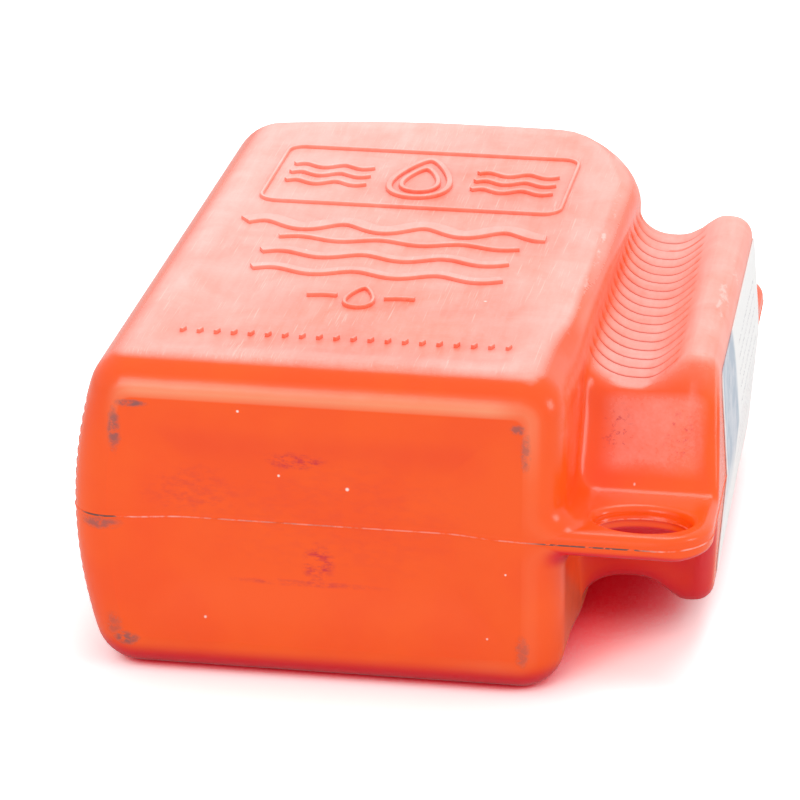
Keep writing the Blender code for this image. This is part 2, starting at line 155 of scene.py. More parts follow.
# The neck and what closes it; heights start at the shoulder.
NECK_X = -14.0
NECK_RADIUS = 14.0
NECK_FILLET = 2.2
NECK_SINK = 4.0
NECK_LENGTH = 22.0
NECK_CHAMFER = 0.6
BORE_RADIUS = NECK_RADIUS - 2.5
BEAD_RADIUS = NECK_RADIUS + 1.5
BEAD_START = 6.6
BEAD_WIDTH = 1.6
BEAD_SLOPE = 0.4
BORE_BOTTOM = -60.0
THREAD_TURNS = 1.5
THREAD_STEPS = 108
THREAD_RADIUS = 0.85
THREAD_RISE = 0.75
THREAD_TOP = NECK_LENGTH - 2.2
CLEARANCE = 0.3
BAND_HEIGHT = 3.4
BAND_NIBS = 12
CAP_WALL = 1.9
CAP_TOP_THICKNESS = 1.8
CAP_EDGE_RADIUS = 1.6
CAP_RECESS = 0.35
CAP_RIM = 3.2
CAP_ROOF = NECK_LENGTH + 1.3
CAP_SKIRT = NECK_FILLET + 2.0 * CLEARANCE + BAND_HEIGHT
CAP_RIB_HEIGHT = 0.45
CAP_RADIUS = BEAD_RADIUS + CLEARANCE + CAP_WALL - CAP_RIB_HEIGHT

LABEL_START = SLOPE_NEAR_FOOT + 18.8
LABEL_END = SLOPE_FAR_FOOT - 16.4
LABEL_HALF_WIDTH = RIDGE_HEIGHT - RIDGE_EDGE_RADIUS - 1.1
LABEL_CORNER = 3.0
LABEL_LIFT = 0.05
LABEL_THICKNESS = 0.2
LABEL_ROWS = 96
LABEL_COLUMNS = 32

# Relief of the skin: sunk panel, grooves, reeds, and the painted highlight band round the foot.
PANEL_SINK = 0.55
PANEL_MARGIN = 7.0
PANEL_LEFT = 4.0
GROOVE_START = SLOPE_NEAR_FOOT + 18.0
GROOVE_COUNT = 18
GROOVE_STEPS = (-0.9, -0.45, -0.2, 0.0, 0.2, 0.45, 0.9)
GROOVE_SETBACK = 3.4
GROOVE_FADE = 1.5
REED_TOP = (22.0, 23.5)
REED_NEAR = (4.4, 6.2)
REED_FAR = (158.0, 163.0)
# Insets where the painted highlight band round the foot rises, and where it fades inwards.
FOOT_HIGHLIGHT = (3.8, 6.3)
FOOT_HIGHLIGHT_INNER = (6.6, 8.0)
FOOT_HIGHLIGHT_FALL = 0.55

# Raised lines of the front panel. Waves: start, end, y, swing, width share.
RELIEF_HEIGHT = 0.85
RELIEF_EDGE = 0.28
WAVES = (
    (-33.5, 34.5, 91.0, 2.3, 2.7), (-24.0, 29.5, 81.5, 1.1, 0.9),
    (-26.0, 28.3, 71.5, 1.5, 1.7), (-26.0, 28.5, 60.5, 1.5, 1.7),
    (-11.0, -4.5, 45.0, 0.7, 0.7), (5.7, 12.2, 45.0, 0.7, 0.7),
)
WAVE_LENGTH = 18.0
SHORT_WAVES_X = ((-30.0, -11.5), (13.0, 31.5))
SHORT_WAVES_Y = (120.5, 126.5, 132.5)
# Drops: name, centre, size, width share.
DROPS = (
    ("drop", (0.8, 126.5), 13.5, 1.0), ("drop", (0.8, 125.4), 8.2, 0.8),
    ("small drop", (0.6, 45.0), 6.0, 0.6),
)
FRAME_SIDES = (-29.5, 31.0)
FRAME_ENDS = (110.0, 142.0)
FRAME_CORNER = 4.0
MARK_COUNT = 20
MARK_START = (-32.6, 19.0)
MARK_PITCH = 3.6
MARK_REACH = (0.5, 1.6)

# Points of a section, part by part, and the steps along the bottle.
SECTION_COUNTS = {
    "side": 62, "edge": 9, "panel": 14, "wall": 3, "fillet": 9,
    "floor": 5, "ridge": 24, "round": 8, "face": 9,
}
END_COUNT = 10
SLOPE_STEP = 1.1
FIRST_STEP = 2.5

BOTTLE_LOW = Vector(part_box("bottle")[0])
BOTTLE_HIGH = Vector(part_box("bottle")[1])
ORIGIN = Vector((
    BOTTLE_LOW.x + (WALL_LEFT + PILLOW_BULGE) * MM,
    BOTTLE_LOW.y,
    0.5 * (BOTTLE_LOW.z + BOTTLE_HIGH.z),
))


# ---------------------------------------------------------------- helpers

def world(x, y, z):
    """A mould-frame point in millimetres as a world point in metres."""
    return ORIGIN + Vector((x, y, z)) * MM


def shares(count):
    """count equal steps from just above 0 to 1."""
    return [(k + 1) / count for k in range(count)]


def smooth_step(value, start, end):
    """0 up to start and 1 from end on, smoothly."""
    share = min(1.0, max(0.0, (value - start) / (end - start)))
    return share * share * (3.0 - 2.0 * share)


def smooth_min(a, b, blend):
    return 0.5 * (a + b - math.hypot(a - b, blend))


def smooth_max(a, b, blend):
    return 0.5 * (a + b + math.hypot(a - b, blend))


def link(thing):
    bpy.context.scene.collection.objects.link(thing)
    return thing


def drop(thing):
    bpy.data.objects.remove(thing, do_unlink=True)


def piece(name, points, faces, edges=()):
    """A mesh object at the origin from world points."""
    mesh = bpy.data.meshes.new(name)
    mesh.from_pydata(points, list(edges), faces)
    mesh.update()
    if faces:
        mesh.shade_smooth()
    return link(bpy.data.objects.new(name, mesh))


def weld(thing):
    """Merge doubled points and turn the faces outwards."""
    shape = bmesh.new()
    shape.from_mesh(thing.data)
    bmesh.ops.remove_doubles(shape, verts=shape.verts, dist=0.002 * MM)
    bmesh.ops.recalc_face_normals(shape, faces=shape.faces)
    shape.to_mesh(thing.data)
    shape.free()


def ring_faces(count, size, closed):
    """Faces between count rings of size points each; the last ring meets the first."""
    faces = []
    for k in range(count):
        after = (k + 1) % count
        for j in range(size if closed else size - 1):
            beyond = (j + 1) % size
            faces.append((k * size + j, k * size + beyond, after * size + beyond, after * size + j))
    return faces


def revolve(name, profile, segments=128):
    """Turn a (radius, height) outline round the neck's axis, from the shoulder up."""
    points = []
    for k in range(segments):
        angle = 2.0 * math.pi * k / segments
        for radius, height in profile:
            points.append(on_neck(radius, angle, height))
    made = piece(name, points, ring_faces(segments, len(profile), True))
    weld(made)
    return made


def on_neck(radius, angle, height):
    """A point round the neck's axis."""
    return world(
        NECK_X + radius * math.cos(angle), LENGTH + height, radius * math.sin(angle))


def bend(centre, reach, start, end, count, first=1):
    """Points of an arc. start and end count quarter turns; first=0 keeps its first point."""
    found = []
    for k in range(first, count + 1):
        angle = 0.5 * math.pi * (start + (end - start) * k / count)
        found.append((
            centre[0] + reach[0] * math.cos(angle), centre[1] + reach[1] * math.sin(angle)))
    return found


def strip(first, second):
    """Four-sided faces between two rows of points."""
    return [
        (first[k], first[k + 1], second[k + 1], second[k]) for k in range(len(first) - 1)]


def finished(thing, material, body, smooth_degrees):
    """Give a piece its material, its smooth faces and its body."""
    thing.data.materials.clear()
    thing.data.materials.append(material)
    thing.data.shade_smooth()
    thing.data.set_sharp_from_angle(angle=math.radians(smooth_degrees))
    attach(thing, body)


# ------------------------------------------------- node graphs in Python

class Wire:
    """A socket that Python's operators do sums on."""

    def __init__(self, graph, socket):
        self.graph = graph
        self.socket = socket

    def maths(self, operation, *others):
        values = dict(enumerate((self,) + others))
        return self.graph.node("ShaderNodeMath", {"operation": operation}, values)

    def __add__(self, other):
        return self.maths("ADD", other)

    __radd__ = __add__

    def __mul__(self, other):
        return self.maths("MULTIPLY", other)

    __rmul__ = __mul__

    def __sub__(self, other):
        return self.maths("SUBTRACT", other)

    def __rsub__(self, other):
        return self.graph.node("ShaderNodeMath", {"operation": "SUBTRACT"}, {0: other, 1: self})

    def __truediv__(self, other):
        return self.maths("DIVIDE", other)

    def __abs__(self):
        return self.maths("ABSOLUTE")

    def power(self, other):
        return self.maths("POWER", other)

    def smaller(self, other):
        return self.maths("MINIMUM", other)

    def larger(self, other):
        return self.maths("MAXIMUM", other)

    def steps(self, start, end):
        """0 before start and 1 after end, smoothly; start may be the larger."""
        settings = {"interpolation_type": "SMOOTHSTEP"}
        low, high = (start, end) if start < end else (end, start)
        values = {"Value": self, "From Min": low, "From Max": high}
        found = self.graph.node("ShaderNodeMapRange", settings, values)
        return found if start < end else 1.0 - found


class Graph:
    """A node tree that is built by one method, for materials and for modifiers."""

    def __init__(self, tree):
        self.tree = tree

    def connect(self, value, socket):
        if isinstance(value, Wire):
            self.tree.links.new(value.socket, socket)
        else:
            socket.default_value = value

    def node(self, kind, settings=None, sockets=None, output=0):
        made = self.tree.nodes.new(kind)
        for key, value in (settings or {}).items():
            setattr(made, key, value)
        for key, value in (sockets or {}).items():
            self.connect(value, made.inputs[key])
        return Wire(self, made.outputs[output])

    def mix(self, factor, first, second):
        """A colour between two colours."""
        values = {0: factor, 6: first, 7: second}
        return self.node("ShaderNodeMix", {"data_type": "RGBA"}, values, 2)

    def part(self, vector, axis):
        return self.node("ShaderNodeSeparateXYZ", None, {0: vector}, axis)


class Finish(Graph):
    """A material of one Principled BSDF, in mould millimetres."""

    def __init__(self, name):
        self.material = bpy.data.materials.new(name)
        self.material.use_nodes = True
        super().__init__(self.material.node_tree)
        self.shader = self.tree.nodes["Principled BSDF"]
        coordinates = self.node("ShaderNodeTexCoord", None, None, "Object")
        scale = 1.0 / MM
        self.place = self.node("ShaderNodeMapping", {"vector_type": "POINT"}, {
            "Vector": coordinates, "Location": -ORIGIN * scale, "Scale": (scale,) * 3,
        })
        self.x, self.y, self.z = (self.part(self.place, axis) for axis in range(3))

    def normal(self, axis):
        return self.part(self.node("ShaderNodeTexCoord", None, None, "Normal"), axis)

    def attribute(self, name):
        return self.node("ShaderNodeAttribute", {"attribute_name": name}, None, "Fac")

    def stretched(self, scale, turn=(0.0, 0.0, 0.0)):
        return self.node("ShaderNodeMapping", None, {
            "Vector": self.place, "Scale": scale, "Rotation": turn,
        })

    def noise(self, scale, detail=3.0, rough=0.55, vector=None, warp=0.0):
        values = {
            "Vector": vector or self.place, "Scale": scale, "Detail": detail,
            "Roughness": rough, "Distortion": warp,
        }
        return self.node("ShaderNodeTexNoise", None, values)

    def spot(self, centre, reach, ragged=0.0):
        """1 at a point and 0 at a distance, with a ragged edge."""
        away = self.node("ShaderNodeVectorMath", {"operation": "SUBTRACT"}, {
            0: self.place, 1: centre,
        })
        scaled = self.node("ShaderNodeVectorMath", {"operation": "DIVIDE"}, {0: away, 1: reach})
        length = self.node("ShaderNodeVectorMath", {"operation": "LENGTH"}, {0: scaled}, 1)
        if ragged:
            length = length + (self.noise(0.55, 4.0, 0.7) - 0.5) * ragged
        return length.steps(1.0, 0.35)

    def spots(self, marks):
        """The strongest of several spots, each a centre, a reach, its raggedness and a share."""
        found = None
        for centre, reach, ragged, share in marks:
            here = self.spot(centre, reach, ragged) * share
            found = here if found is None else found.larger(here)
        return found

    def set(self, **values):
        for key, value in values.items():
            self.connect(value, self.shader.inputs[key.replace("_", " ")])

    def bump(self, height, strength, distance=0.1):
        values = {"Height": height, "Strength": strength, "Distance": distance * MM}
        self.connect(self.node("ShaderNodeBump", None, values), self.shader.inputs["Normal"])


SOCKET_KINDS = {float: "NodeSocketFloat", int: "NodeSocketInt", tuple: "NodeSocketVector"}


class Builder(Graph):
    """A Geometry Nodes tree with named inputs that ends in a real mesh."""

    def __init__(self, name, inputs):
        tree = bpy.data.node_groups.new(name, "GeometryNodeTree")
        tree.is_modifier = True
        tree.interface.new_socket("Geometry", in_out="INPUT", socket_type="NodeSocketGeometry")
        tree.interface.new_socket("Geometry", in_out="OUTPUT", socket_type="NodeSocketGeometry")
        self.names = {}
        for key, default in inputs.items():
            kind = SOCKET_KINDS[type(default)]
            socket = tree.interface.new_socket(key, in_out="INPUT", socket_type=kind)
            socket.default_value = default
            self.names[key] = socket.identifier
        super().__init__(tree)
        self.entry = tree.nodes.new("NodeGroupInput")

    def value(self, key):
        return Wire(self, self.entry.outputs[key])

    def attribute(self, name):
        return self.node("GeometryNodeInputNamedAttribute", {"data_type": "FLOAT"}, {"Name": name})

    def stored(self, geometry, name, value):
        settings = {"data_type": "FLOAT", "domain": "POINT"}
        values = {"Geometry": geometry, "Name": name, "Value": value}
        return self.node("GeometryNodeStoreNamedAttribute", settings, values)

    def close(self, geometry, material):
        real = self.node("GeometryNodeRealizeInstances", None, {0: geometry})
        dressed = self.node("GeometryNodeSetMaterial", None, {"Geometry": real, "Material": material})
        leave = self.tree.nodes.new("NodeGroupOutput")
        self.connect(dressed, leave.inputs[0])

    def apply(self, thing, settings):
        """Run the tree on a thing and leave a plain mesh."""
        made = thing.modifiers.new(self.tree.name, "NODES")
        made.node_group = self.tree
        for key, value in settings.items():
            made[self.names[key]] = value
        flatten(thing)


def flatten(thing):
    """Replace a thing's mesh by what its modifiers make of it."""
    graph = bpy.context.evaluated_depsgraph_get()
    graph.update()
    made = bpy.data.meshes.new_from_object(
        thing.evaluated_get(graph), preserve_all_data_layers=True, depsgraph=graph)
    old = thing.data
    thing.modifiers.clear()
    thing.data = made
    made.name = thing.name
    bpy.data.meshes.remove(old)


# ------------------------------------------------------- shape of the mould

def tank_right(y):
    """X of the tank's right wall, with its large shoulder corner."""
    start = LENGTH - SHOULDER_CORNER_Y
    if y <= start:
        return WALL_RIGHT
    share = min(1.0, (y - start) / SHOULDER_CORNER_Y)
    return WALL_RIGHT - SHOULDER_CORNER_X * (1.0 - math.sqrt(1.0 - share * share))


def outline_right(y):
    """X of the parting outline on the grip side."""
    edge = OUTLINE_RIGHT - GRIP_TAPER * max(y, NEAR_CORNER_RADIUS)
    if y < NEAR_CORNER_RADIUS:
        fall = NEAR_CORNER_RADIUS - y
        return edge - NEAR_CORNER_RADIUS + math.sqrt(NEAR_CORNER_RADIUS ** 2 - fall * fall)
    fall = y - (LENGTH - FAR_CORNER_RADIUS)
    if fall > 0.0:
        reach = math.sqrt(max(0.0, FAR_CORNER_RADIUS ** 2 - fall * fall))
        return edge - FAR_CORNER_RADIUS + reach
    return edge


def grip_lean(y):
    """How far the channel and the ridge stand to the right at station y."""
    return -GRIP_LEAN * (y - GRIP_MIDDLE_Y)


def ridge_profile(x):
    """Height of the finger channel and ridge over the parting plane."""
    across = (x - CHANNEL_X) / (RIDGE_X - CHANNEL_X)
    if across <= 0.0:
        return CHANNEL_HEIGHT + CHANNEL_HOLLOW * across * across
    rise = RIDGE_HEIGHT - CHANNEL_HEIGHT
    if across < 1.0:
        square, cube, fourth = RIDGE_CURVE
        share = across * across * (square + across * (cube + fourth * across))
        return CHANNEL_HEIGHT + rise * share
    return RIDGE_HEIGHT - RIDGE_CROWN * (across - 1.0) ** 2


def slope_ceiling(y):
    """Height that the two sloped ends of the grip leave free."""
    return WEB_HALF_THICKNESS + SLOPE * min(y - SLOPE_NEAR_FOOT, SLOPE_FAR_FOOT - y)


def scoop(x, y, share):
    """How far a sloped end is hollowed, at a share of its height."""
    up_and_down = smooth_step(share, *SCOOP_LOW) * (1.0 - smooth_step(share, *SCOOP_HIGH))
    start, end = (outline_right(y) - inside for inside in SCOOP_RIGHT)
    across = smooth_step(x, *SCOOP_LEFT) * (1.0 - smooth_step(x, start, end))
    return SCOOP_DEPTH * up_and_down * across


def grip_height(x, y):
    ceiling = slope_ceiling(y)
    if ceiling < WEB_HALF_THICKNESS - SLOPE_FOOT_REACH:
        return WEB_HALF_THICKNESS
    profile = ridge_profile(x - grip_lean(y))
    share = (ceiling - WEB_HALF_THICKNESS) / (profile - WEB_HALF_THICKNESS)
    free = smooth_min(profile, ceiling, SLOPE_BLEND) - scoop(x, y, share)
    return smooth_max(free, WEB_HALF_THICKNESS, SLOPE_FOOT_BLEND)


def pillow(z, inset):
    return inset - WALL_LEFT - PILLOW_BULGE * (1.0 - (z / PILLOW_HALF_HEIGHT) ** 2)


def edge_radius_right(y):
    """The edge over the grip is tighter where the finger channel runs beside it."""
    channel = smooth_step(y, *CHANNEL_EDGE_NEAR) * (1.0 - smooth_step(y, *CHANNEL_EDGE_FAR))
    return EDGE_RADIUS_RIGHT + (EDGE_RADIUS_CHANNEL - EDGE_RADIUS_RIGHT) * channel


def tank_section(y, inset):
    """Half outline of the tank, from the left parting point to the right wall."""
    counts = SECTION_COUNTS
    top = HALF_THICKNESS - inset
    radius = max(EDGE_RADIUS_LEFT - inset, EDGE_RADIUS_LEFT_LEAST)
    arc_height = top - radius
    tilt = math.atan(2.0 * PILLOW_BULGE * arc_height / PILLOW_HALF_HEIGHT ** 2)
    start = arc_height + radius * math.sin(tilt)
    line = [(pillow(0.0, inset), 0.0)]
    for share in shares(counts["side"]):
        line.append((pillow(start * share, inset), start * share))
    centre = pillow(start, inset) + radius * math.cos(tilt)
    line += bend(
        (centre, arc_height), (radius, radius), 2.0 - tilt / (0.5 * math.pi), 1.0, counts["edge"])
    wall = tank_right(y) - inset
    radius = max(edge_radius_right(y) - inset, EDGE_RADIUS_RIGHT_LEAST)
    for share in shares(counts["panel"]):
        line.append((centre + share * (wall - radius - centre), top))
    line += bend((wall - radius, top - radius), (radius, radius), 1.0, 0.0, counts["edge"])
    return line, wall, top - radius


def section(y, inset):
    """Half outline in the XZ plane at station y, tank, grip and all."""
    counts = SECTION_COUNTS
    line, wall, high = tank_section(y, inset)
    edge_height = max(0.0, min(1.0, min(y, LENGTH - y) / WEB_EDGE_RADIUS))
    web_drop = WEB_EDGE_RADIUS * (1.0 - math.sqrt(1.0 - (1.0 - edge_height) ** 2))
    lean = grip_lean(y)
    floor = grip_height(CHANNEL_X + lean, y) - web_drop
    lifted = (floor - WEB_HALF_THICKNESS) / (CHANNEL_HEIGHT - WEB_HALF_THICKNESS)
    widest = min(CHANNEL_FILLET, CHANNEL_X + lean - wall - FLOOR_LEAST)
    fillet = WEB_FILLET + (widest - WEB_FILLET) * min(1.0, max(0.0, lifted))
    foot = grip_height(wall + fillet, y) - web_drop
    rise = min(fillet, high - foot - WALL_LEAST)
    low = foot + rise
    for share in shares(counts["wall"]):
        line.append((wall, high + share * (low - high)))
    line += bend((wall + fillet, low), (fillet, rise), 2.0, 3.0, counts["fillet"])
    outline = outline_right(y)
    crest = grip_height(RIDGE_X + lean, y) - web_drop
    raised = min(1.0, max(0.0, (crest - WEB_HALF_THICKNESS) / RIDGE_EDGE_GROWTH))
    edge = WEB_EDGE_RADIUS + (RIDGE_EDGE_RADIUS - WEB_EDGE_RADIUS) * raised
    edge_drop = min(edge, 0.5 * crest)
    face_top = outline - FACE_DRAFT * (crest - edge_drop)
    start = wall + fillet + FOOT_STEP
    nominal_end = outline_right(GRIP_MIDDLE_Y) + lean - RIDGE_EDGE_SETBACK
    across = [start]
    across += [start + share * (CHANNEL_X + lean - start) for share in shares(counts["floor"])]
    base = across[-1]
    across += [base + share * (nominal_end - base) for share in shares(counts["ridge"])]
    end = face_top - edge
    stretch = (end - start) / (nominal_end - start)
    for x in across:
        line.append((start + stretch * (x - start), grip_height(x, y) - web_drop))
    low = line[-1][1] - edge_drop
    line += bend((end, low), (edge, edge_drop), 1.0, 0.0, counts["round"])
    for share in shares(counts["face"]):
        z = low * (1.0 - share)
        line.append((outline - FACE_DRAFT * z, z))
    return line


def shoulder_shift(x, y):
    """How far the arched shoulder and the far edge of the web fall back."""
    weight = smooth_step(y, *SHOULDER_SHIFT)
    across = (x - SHOULDER_ARCH_CREST_X) / SHOULDER_ARCH_WIDTH
    if across < 0.0:
        return -weight * SHOULDER_ARCH * across * across
    return -weight * FAR_EDGE_DROP * max(0.0, (x - FAR_EDGE_START_X) / FAR_EDGE_WIDTH) ** 2


def base_rise(inset):
    """Height of the base over its foot ring, at an inset from the tank's outline."""
    fall = FOOT_FALL * min(1.0, max(0.0, (inset - FOOT_RING) / (PUSH_UP_START - FOOT_RING)))
    rise = PUSH_UP_DEPTH - FOOT_FALL
    return fall + rise * smooth_step(inset, PUSH_UP_START, PUSH_UP_START + PUSH_UP_WIDTH)


def groove_places(pitch):
    return [GROOVE_START + k * pitch for k in range(GROOVE_COUNT)]


def stations(pitch):
    """(y, inset) along the bottle, close together where the grooves are cut."""
    rounding = (BASE_RADIUS, BASE_RADIUS)
    found = bend(rounding, rounding, 2.0, 3.0, END_COUNT, 0)
    middle = []
    y = BASE_RADIUS + FIRST_STEP
    while y < GROOVE_START - 1.2:
        middle.append(y)
        y += SLOPE_STEP
    for place in groove_places(pitch):
        middle += [place + step for step in GROOVE_STEPS]
        middle.append(place + 0.5 * pitch)
    y = middle[-1] + SLOPE_STEP
    while y < LENGTH - SHOULDER_RADIUS - 0.6:
        middle.append(y)
        y += SLOPE_STEP
    found += [(y, 0.0) for y in middle]
    rounding = (SHOULDER_RADIUS, SHOULDER_RADIUS)
    centre = (LENGTH - SHOULDER_RADIUS, SHOULDER_RADIUS)
    return found + bend(centre, rounding, -1.0, 0.0, END_COUNT, 0)


def panel_sink(x, y, z):
    """The panel lies a little lower than the rounded edges round it."""
    if z < HALF_THICKNESS - 0.001:
        return 0.0
    left = x + WALL_LEFT - EDGE_RADIUS_LEFT + PILLOW_BULGE - PANEL_LEFT
    side = min(left, tank_right(y) - EDGE_RADIUS_RIGHT - x)
    end = min(y - BASE_RADIUS, LENGTH - SHOULDER_RADIUS - y)
    return PANEL_SINK * smooth_step(min(side, end), 0.0, PANEL_MARGIN)


def channel_share(x, y, column, pitch):
    """How much of the groove's depth a point of the section takes."""
    places = groove_places(pitch)
    if not places[0] - 0.5 * pitch < y < places[-1] + 0.5 * pitch:
        return 0.0
    if not WALL_COLUMN < column <= RIDGE_COLUMN:
        return 0.0
    end = RIDGE_X + grip_lean(y) - GROOVE_SETBACK
    start = smooth_step(x, WALL_RIGHT, WALL_RIGHT + 0.5)
    return start * (1.0 - smooth_step(x, end - GROOVE_FADE, end))


def side_share(y, z, column):
    """How much of the reeds' depth a point of the closed side takes."""
    if column > SECTION_COUNTS["side"]:
        return 0.0
    along = smooth_step(y, *REED_NEAR) * (1.0 - smooth_step(y, *REED_FAR))
    return (1.0 - smooth_step(z, *REED_TOP)) * along


def foot_share(y, inset, column):
    """How much of the painted highlight band a point of the rounding round the base takes."""
    if y >= BASE_RADIUS or column >= FOOT_COLUMN:
        return 0.0
    inner = 1.0 - FOOT_HIGHLIGHT_FALL * smooth_step(inset, *FOOT_HIGHLIGHT_INNER)
    return smooth_step(inset, *FOOT_HIGHLIGHT) * inner


FOOT_COLUMN = sum(SECTION_COUNTS[k] for k in ("side", "edge", "panel", "edge", "wall", "fillet"))
WALL_COLUMN = FOOT_COLUMN - SECTION_COUNTS["fillet"]
RIDGE_COLUMN = FOOT_COLUMN + 1 + SECTION_COUNTS["floor"] + SECTION_COUNTS["ridge"]
NO_MARKS = (0.0, 0.0, 0.0)
BASE_INSETS = [FOOT_RING, PUSH_UP_START]
BASE_INSETS += [PUSH_UP_START + PUSH_UP_WIDTH * share for share in shares(PUSH_UP_COUNT)]
BASE_INSETS += [DEEPEST_INSET]
SHOULDER_INSETS = [SHOULDER_RADIUS + step for step in SHOULDER_STEPS]


def end_ring(row, points, y, inset):
    """One ring of an end: the tank's outline at an inset, on the heights of the row."""
    line, wall, high = tank_section(y, inset)
    heights = [(points[k] - ORIGIN).z / MM for k in row[:FOOT_COLUMN + 1]]
    top = heights[WALL_COLUMN - SECTION_COUNTS["wall"]]
    foot = heights[FOOT_COLUMN]
    for height in heights[WALL_COLUMN - SECTION_COUNTS["wall"] + 1:]:
        line.append((wall, high * (height - foot) / (top - foot)))
    return line


def add_end(points, faces, row, marks, y, insets, height):
    """Rings inwards from the last row of the side wall, then the strip under the web."""
    def add(x, level, z):
        points.append(world(x, level + shoulder_shift(x, level), z))
        marks.append(NO_MARKS)
        return len(points) - 1

    outer = row[:FOOT_COLUMN + 1]
    for inset in insets:
        ring = [add(x, height(inset), z) for x, z in end_ring(row, points, y, inset)]
        faces += strip(outer, ring)
        if inset == insets[0]:
            low = [ring[-1]]
            low += [add((points[k] - ORIGIN).x / MM, y, 0.0) for k in row[FOOT_COLUMN + 1:]]
            faces += strip(row[FOOT_COLUMN:], low)
        outer = ring
    level = height(insets[-1])
    faces += strip(outer, [add((points[k] - ORIGIN).x / MM, level, 0.0) for k in outer])


def skin_mesh(pitch):
    """The whole outer skin: one half, then its mirror image."""
    points = []
    faces = []
    marks = []
    grid = []
    for y, inset in stations(pitch):
        row = []
        for column, (x, z) in enumerate(section(y, inset)):
            sunk = panel_sink(x, y, z) if inset == 0.0 else 0.0
            row.append(len(points))
            points.append(world(x, y + shoulder_shift(x, y), z - sunk))
            marks.append((
                channel_share(x, y, column, pitch), side_share(y, z, column),
                foot_share(y, inset, column),
            ))
        grid.append(row)
    for lower, upper in zip(grid, grid[1:]):
        faces += strip(lower, upper)
    add_end(points, faces, grid[0], marks, 0.0, BASE_INSETS, base_rise)
    add_end(points, faces, grid[-1], marks, LENGTH, SHOULDER_INSETS, lambda inset: LENGTH)
    half = len(points)
    for here in points[:half]:
        points.append(Vector((here.x, here.y, 2.0 * ORIGIN.z - here.z)))
    faces += [tuple(half + k for k in reversed(face)) for face in faces]
    made = piece("bottle_skin", points, faces)
    for column, key in enumerate(("channel_share", "side_share", "foot_share")):
        layer = made.data.attributes.new(key, "FLOAT", "POINT")
        layer.data.foreach_set("value", [mark[column] for mark in marks + marks])
    weld(made)
    return made


# ------------------------------------------------------- Geometry Nodes trees

def relief_tree():
    """Grooves across the finger channels and reeds along the closed side."""
    tree = Builder("channel grooves and side reeds", {
        "Groove Start": 0.0, "Groove Pitch": 5.4 * MM, "Groove Width": 0.9 * MM,
        "Groove Depth": 0.3 * MM, "Reed Pitch": 2.4 * MM, "Reed Depth": 0.35 * MM, "Middle": 0.0,
    })
    place = tree.node("GeometryNodeInputPosition")
    pitch = tree.value("Groove Pitch")
    along = tree.part(place, 1) - tree.value("Groove Start") + pitch * 100.5
    away = abs(along.maths("MODULO", pitch) - pitch * 0.5)
    cut = (1.0 - away / (tree.value("Groove Width") * 0.5)).larger(0.0)
    groove = tree.attribute("channel_share") * cut.power(0.7)
    turn = (tree.part(place, 2) - tree.value("Middle")) / tree.value("Reed Pitch") * (2.0 * math.pi)
    reed = tree.attribute("side_share") * (0.5 - turn.maths("COSINE") * 0.5).power(2.0)
    depth = groove * tree.value("Groove Depth") + reed * tree.value("Reed Depth")
    inwards = tree.node("ShaderNodeVectorMath", {"operation": "SCALE"}, {
        0: tree.node("GeometryNodeInputNormal"), "Scale": 0.0 - depth,
    })
    marked = tree.stored(tree.value("Geometry"), "groove_line", groove)
    marked = tree.stored(marked, "reed_line", reed)
    moved = tree.node("GeometryNodeSetPosition", None, {"Geometry": marked, "Offset": inwards})
    return tree, moved


def bead_tree(name):
    """A round bead that follows a path of edges."""
    tree = Builder(name, {"Bead Radius": 0.3 * MM, "Bead Sides": 8})
    path = tree.node("GeometryNodeMeshToCurve", None, {"Mesh": tree.value("Geometry")})
    ring = tree.node("GeometryNodeCurvePrimitiveCircle", None, {
        "Resolution": tree.value("Bead Sides"), "Radius": tree.value("Bead Radius"),
    })
    bead = tree.node("GeometryNodeCurveToMesh", None, {
        "Curve": path, "Profile Curve": ring, "Fill Caps": True,
    })
    return tree, bead


def bar_tree(name):
    """A flat bar with rounded edges that follows a level path of edges."""
    tree = Builder(name, {
        "Bar Width": 2.0 * MM, "Bar Height": 1.4 * MM, "Edge Radius": 0.3 * MM,
    })
    path = tree.node("GeometryNodeMeshToCurve", None, {"Mesh": tree.value("Geometry")})
    level = tree.node("GeometryNodeSetCurveNormal", {"mode": "Z_UP"}, {"Curve": path})
    outline = tree.node("GeometryNodeCurvePrimitiveQuadrilateral", None, {
        "Width": tree.value("Bar Width"), "Height": tree.value("Bar Height"),
    })
    rounded = tree.node("GeometryNodeFilletCurve", {"mode": "POLY"}, {
        "Curve": outline, "Radius": tree.value("Edge Radius"), "Count": 3, "Limit Radius": True,
    })
    bar = tree.node("GeometryNodeCurveToMesh", None, {
        "Curve": level, "Profile Curve": rounded, "Fill Caps": True,
    })
    return tree, bar


def rib_tree():
    """Upright grip ribs round a cap, or nibs round a band."""
    tree = Builder("ribs round a ring", {
        "Rib Count": 72, "Ring Radius": 17.2 * MM, "Rib Radius": 0.45 * MM,
        "Rib Length": 11.0 * MM, "Centre": (0.0, 0.0, 0.0),
    })
    ring = tree.node("GeometryNodeMeshCircle", None, {
        "Vertices": tree.value("Rib Count"), "Radius": tree.value("Ring Radius"),
    })
    rib = tree.node("GeometryNodeMeshCylinder", {"fill_type": "TRIANGLE_FAN"}, {
        "Vertices": 8, "Side Segments": 1, "Radius": tree.value("Rib Radius"),
        "Depth": tree.value("Rib Length"),
    })
    ribs = tree.node("GeometryNodeInstanceOnPoints", None, {"Points": ring, "Instance": rib})
    placed = tree.node("GeometryNodeTransform", None, {
        "Geometry": ribs, "Translation": tree.value("Centre"),
        "Rotation": (0.5 * math.pi, 0.0, 0.0),
    })
    return tree, placed


def along_path(name, path, closed, make_tree, material, settings):
    """World points joined by edges, with a bead or a bar made along them."""
    count = len(path)
    edges = [(k, (k + 1) % count) for k in range(count if closed else count - 1)]
    made = piece(name, path, [], edges)
    tree, shape = make_tree(name + " path")
    tree.close(shape, material)
    tree.apply(made, settings)
    return made


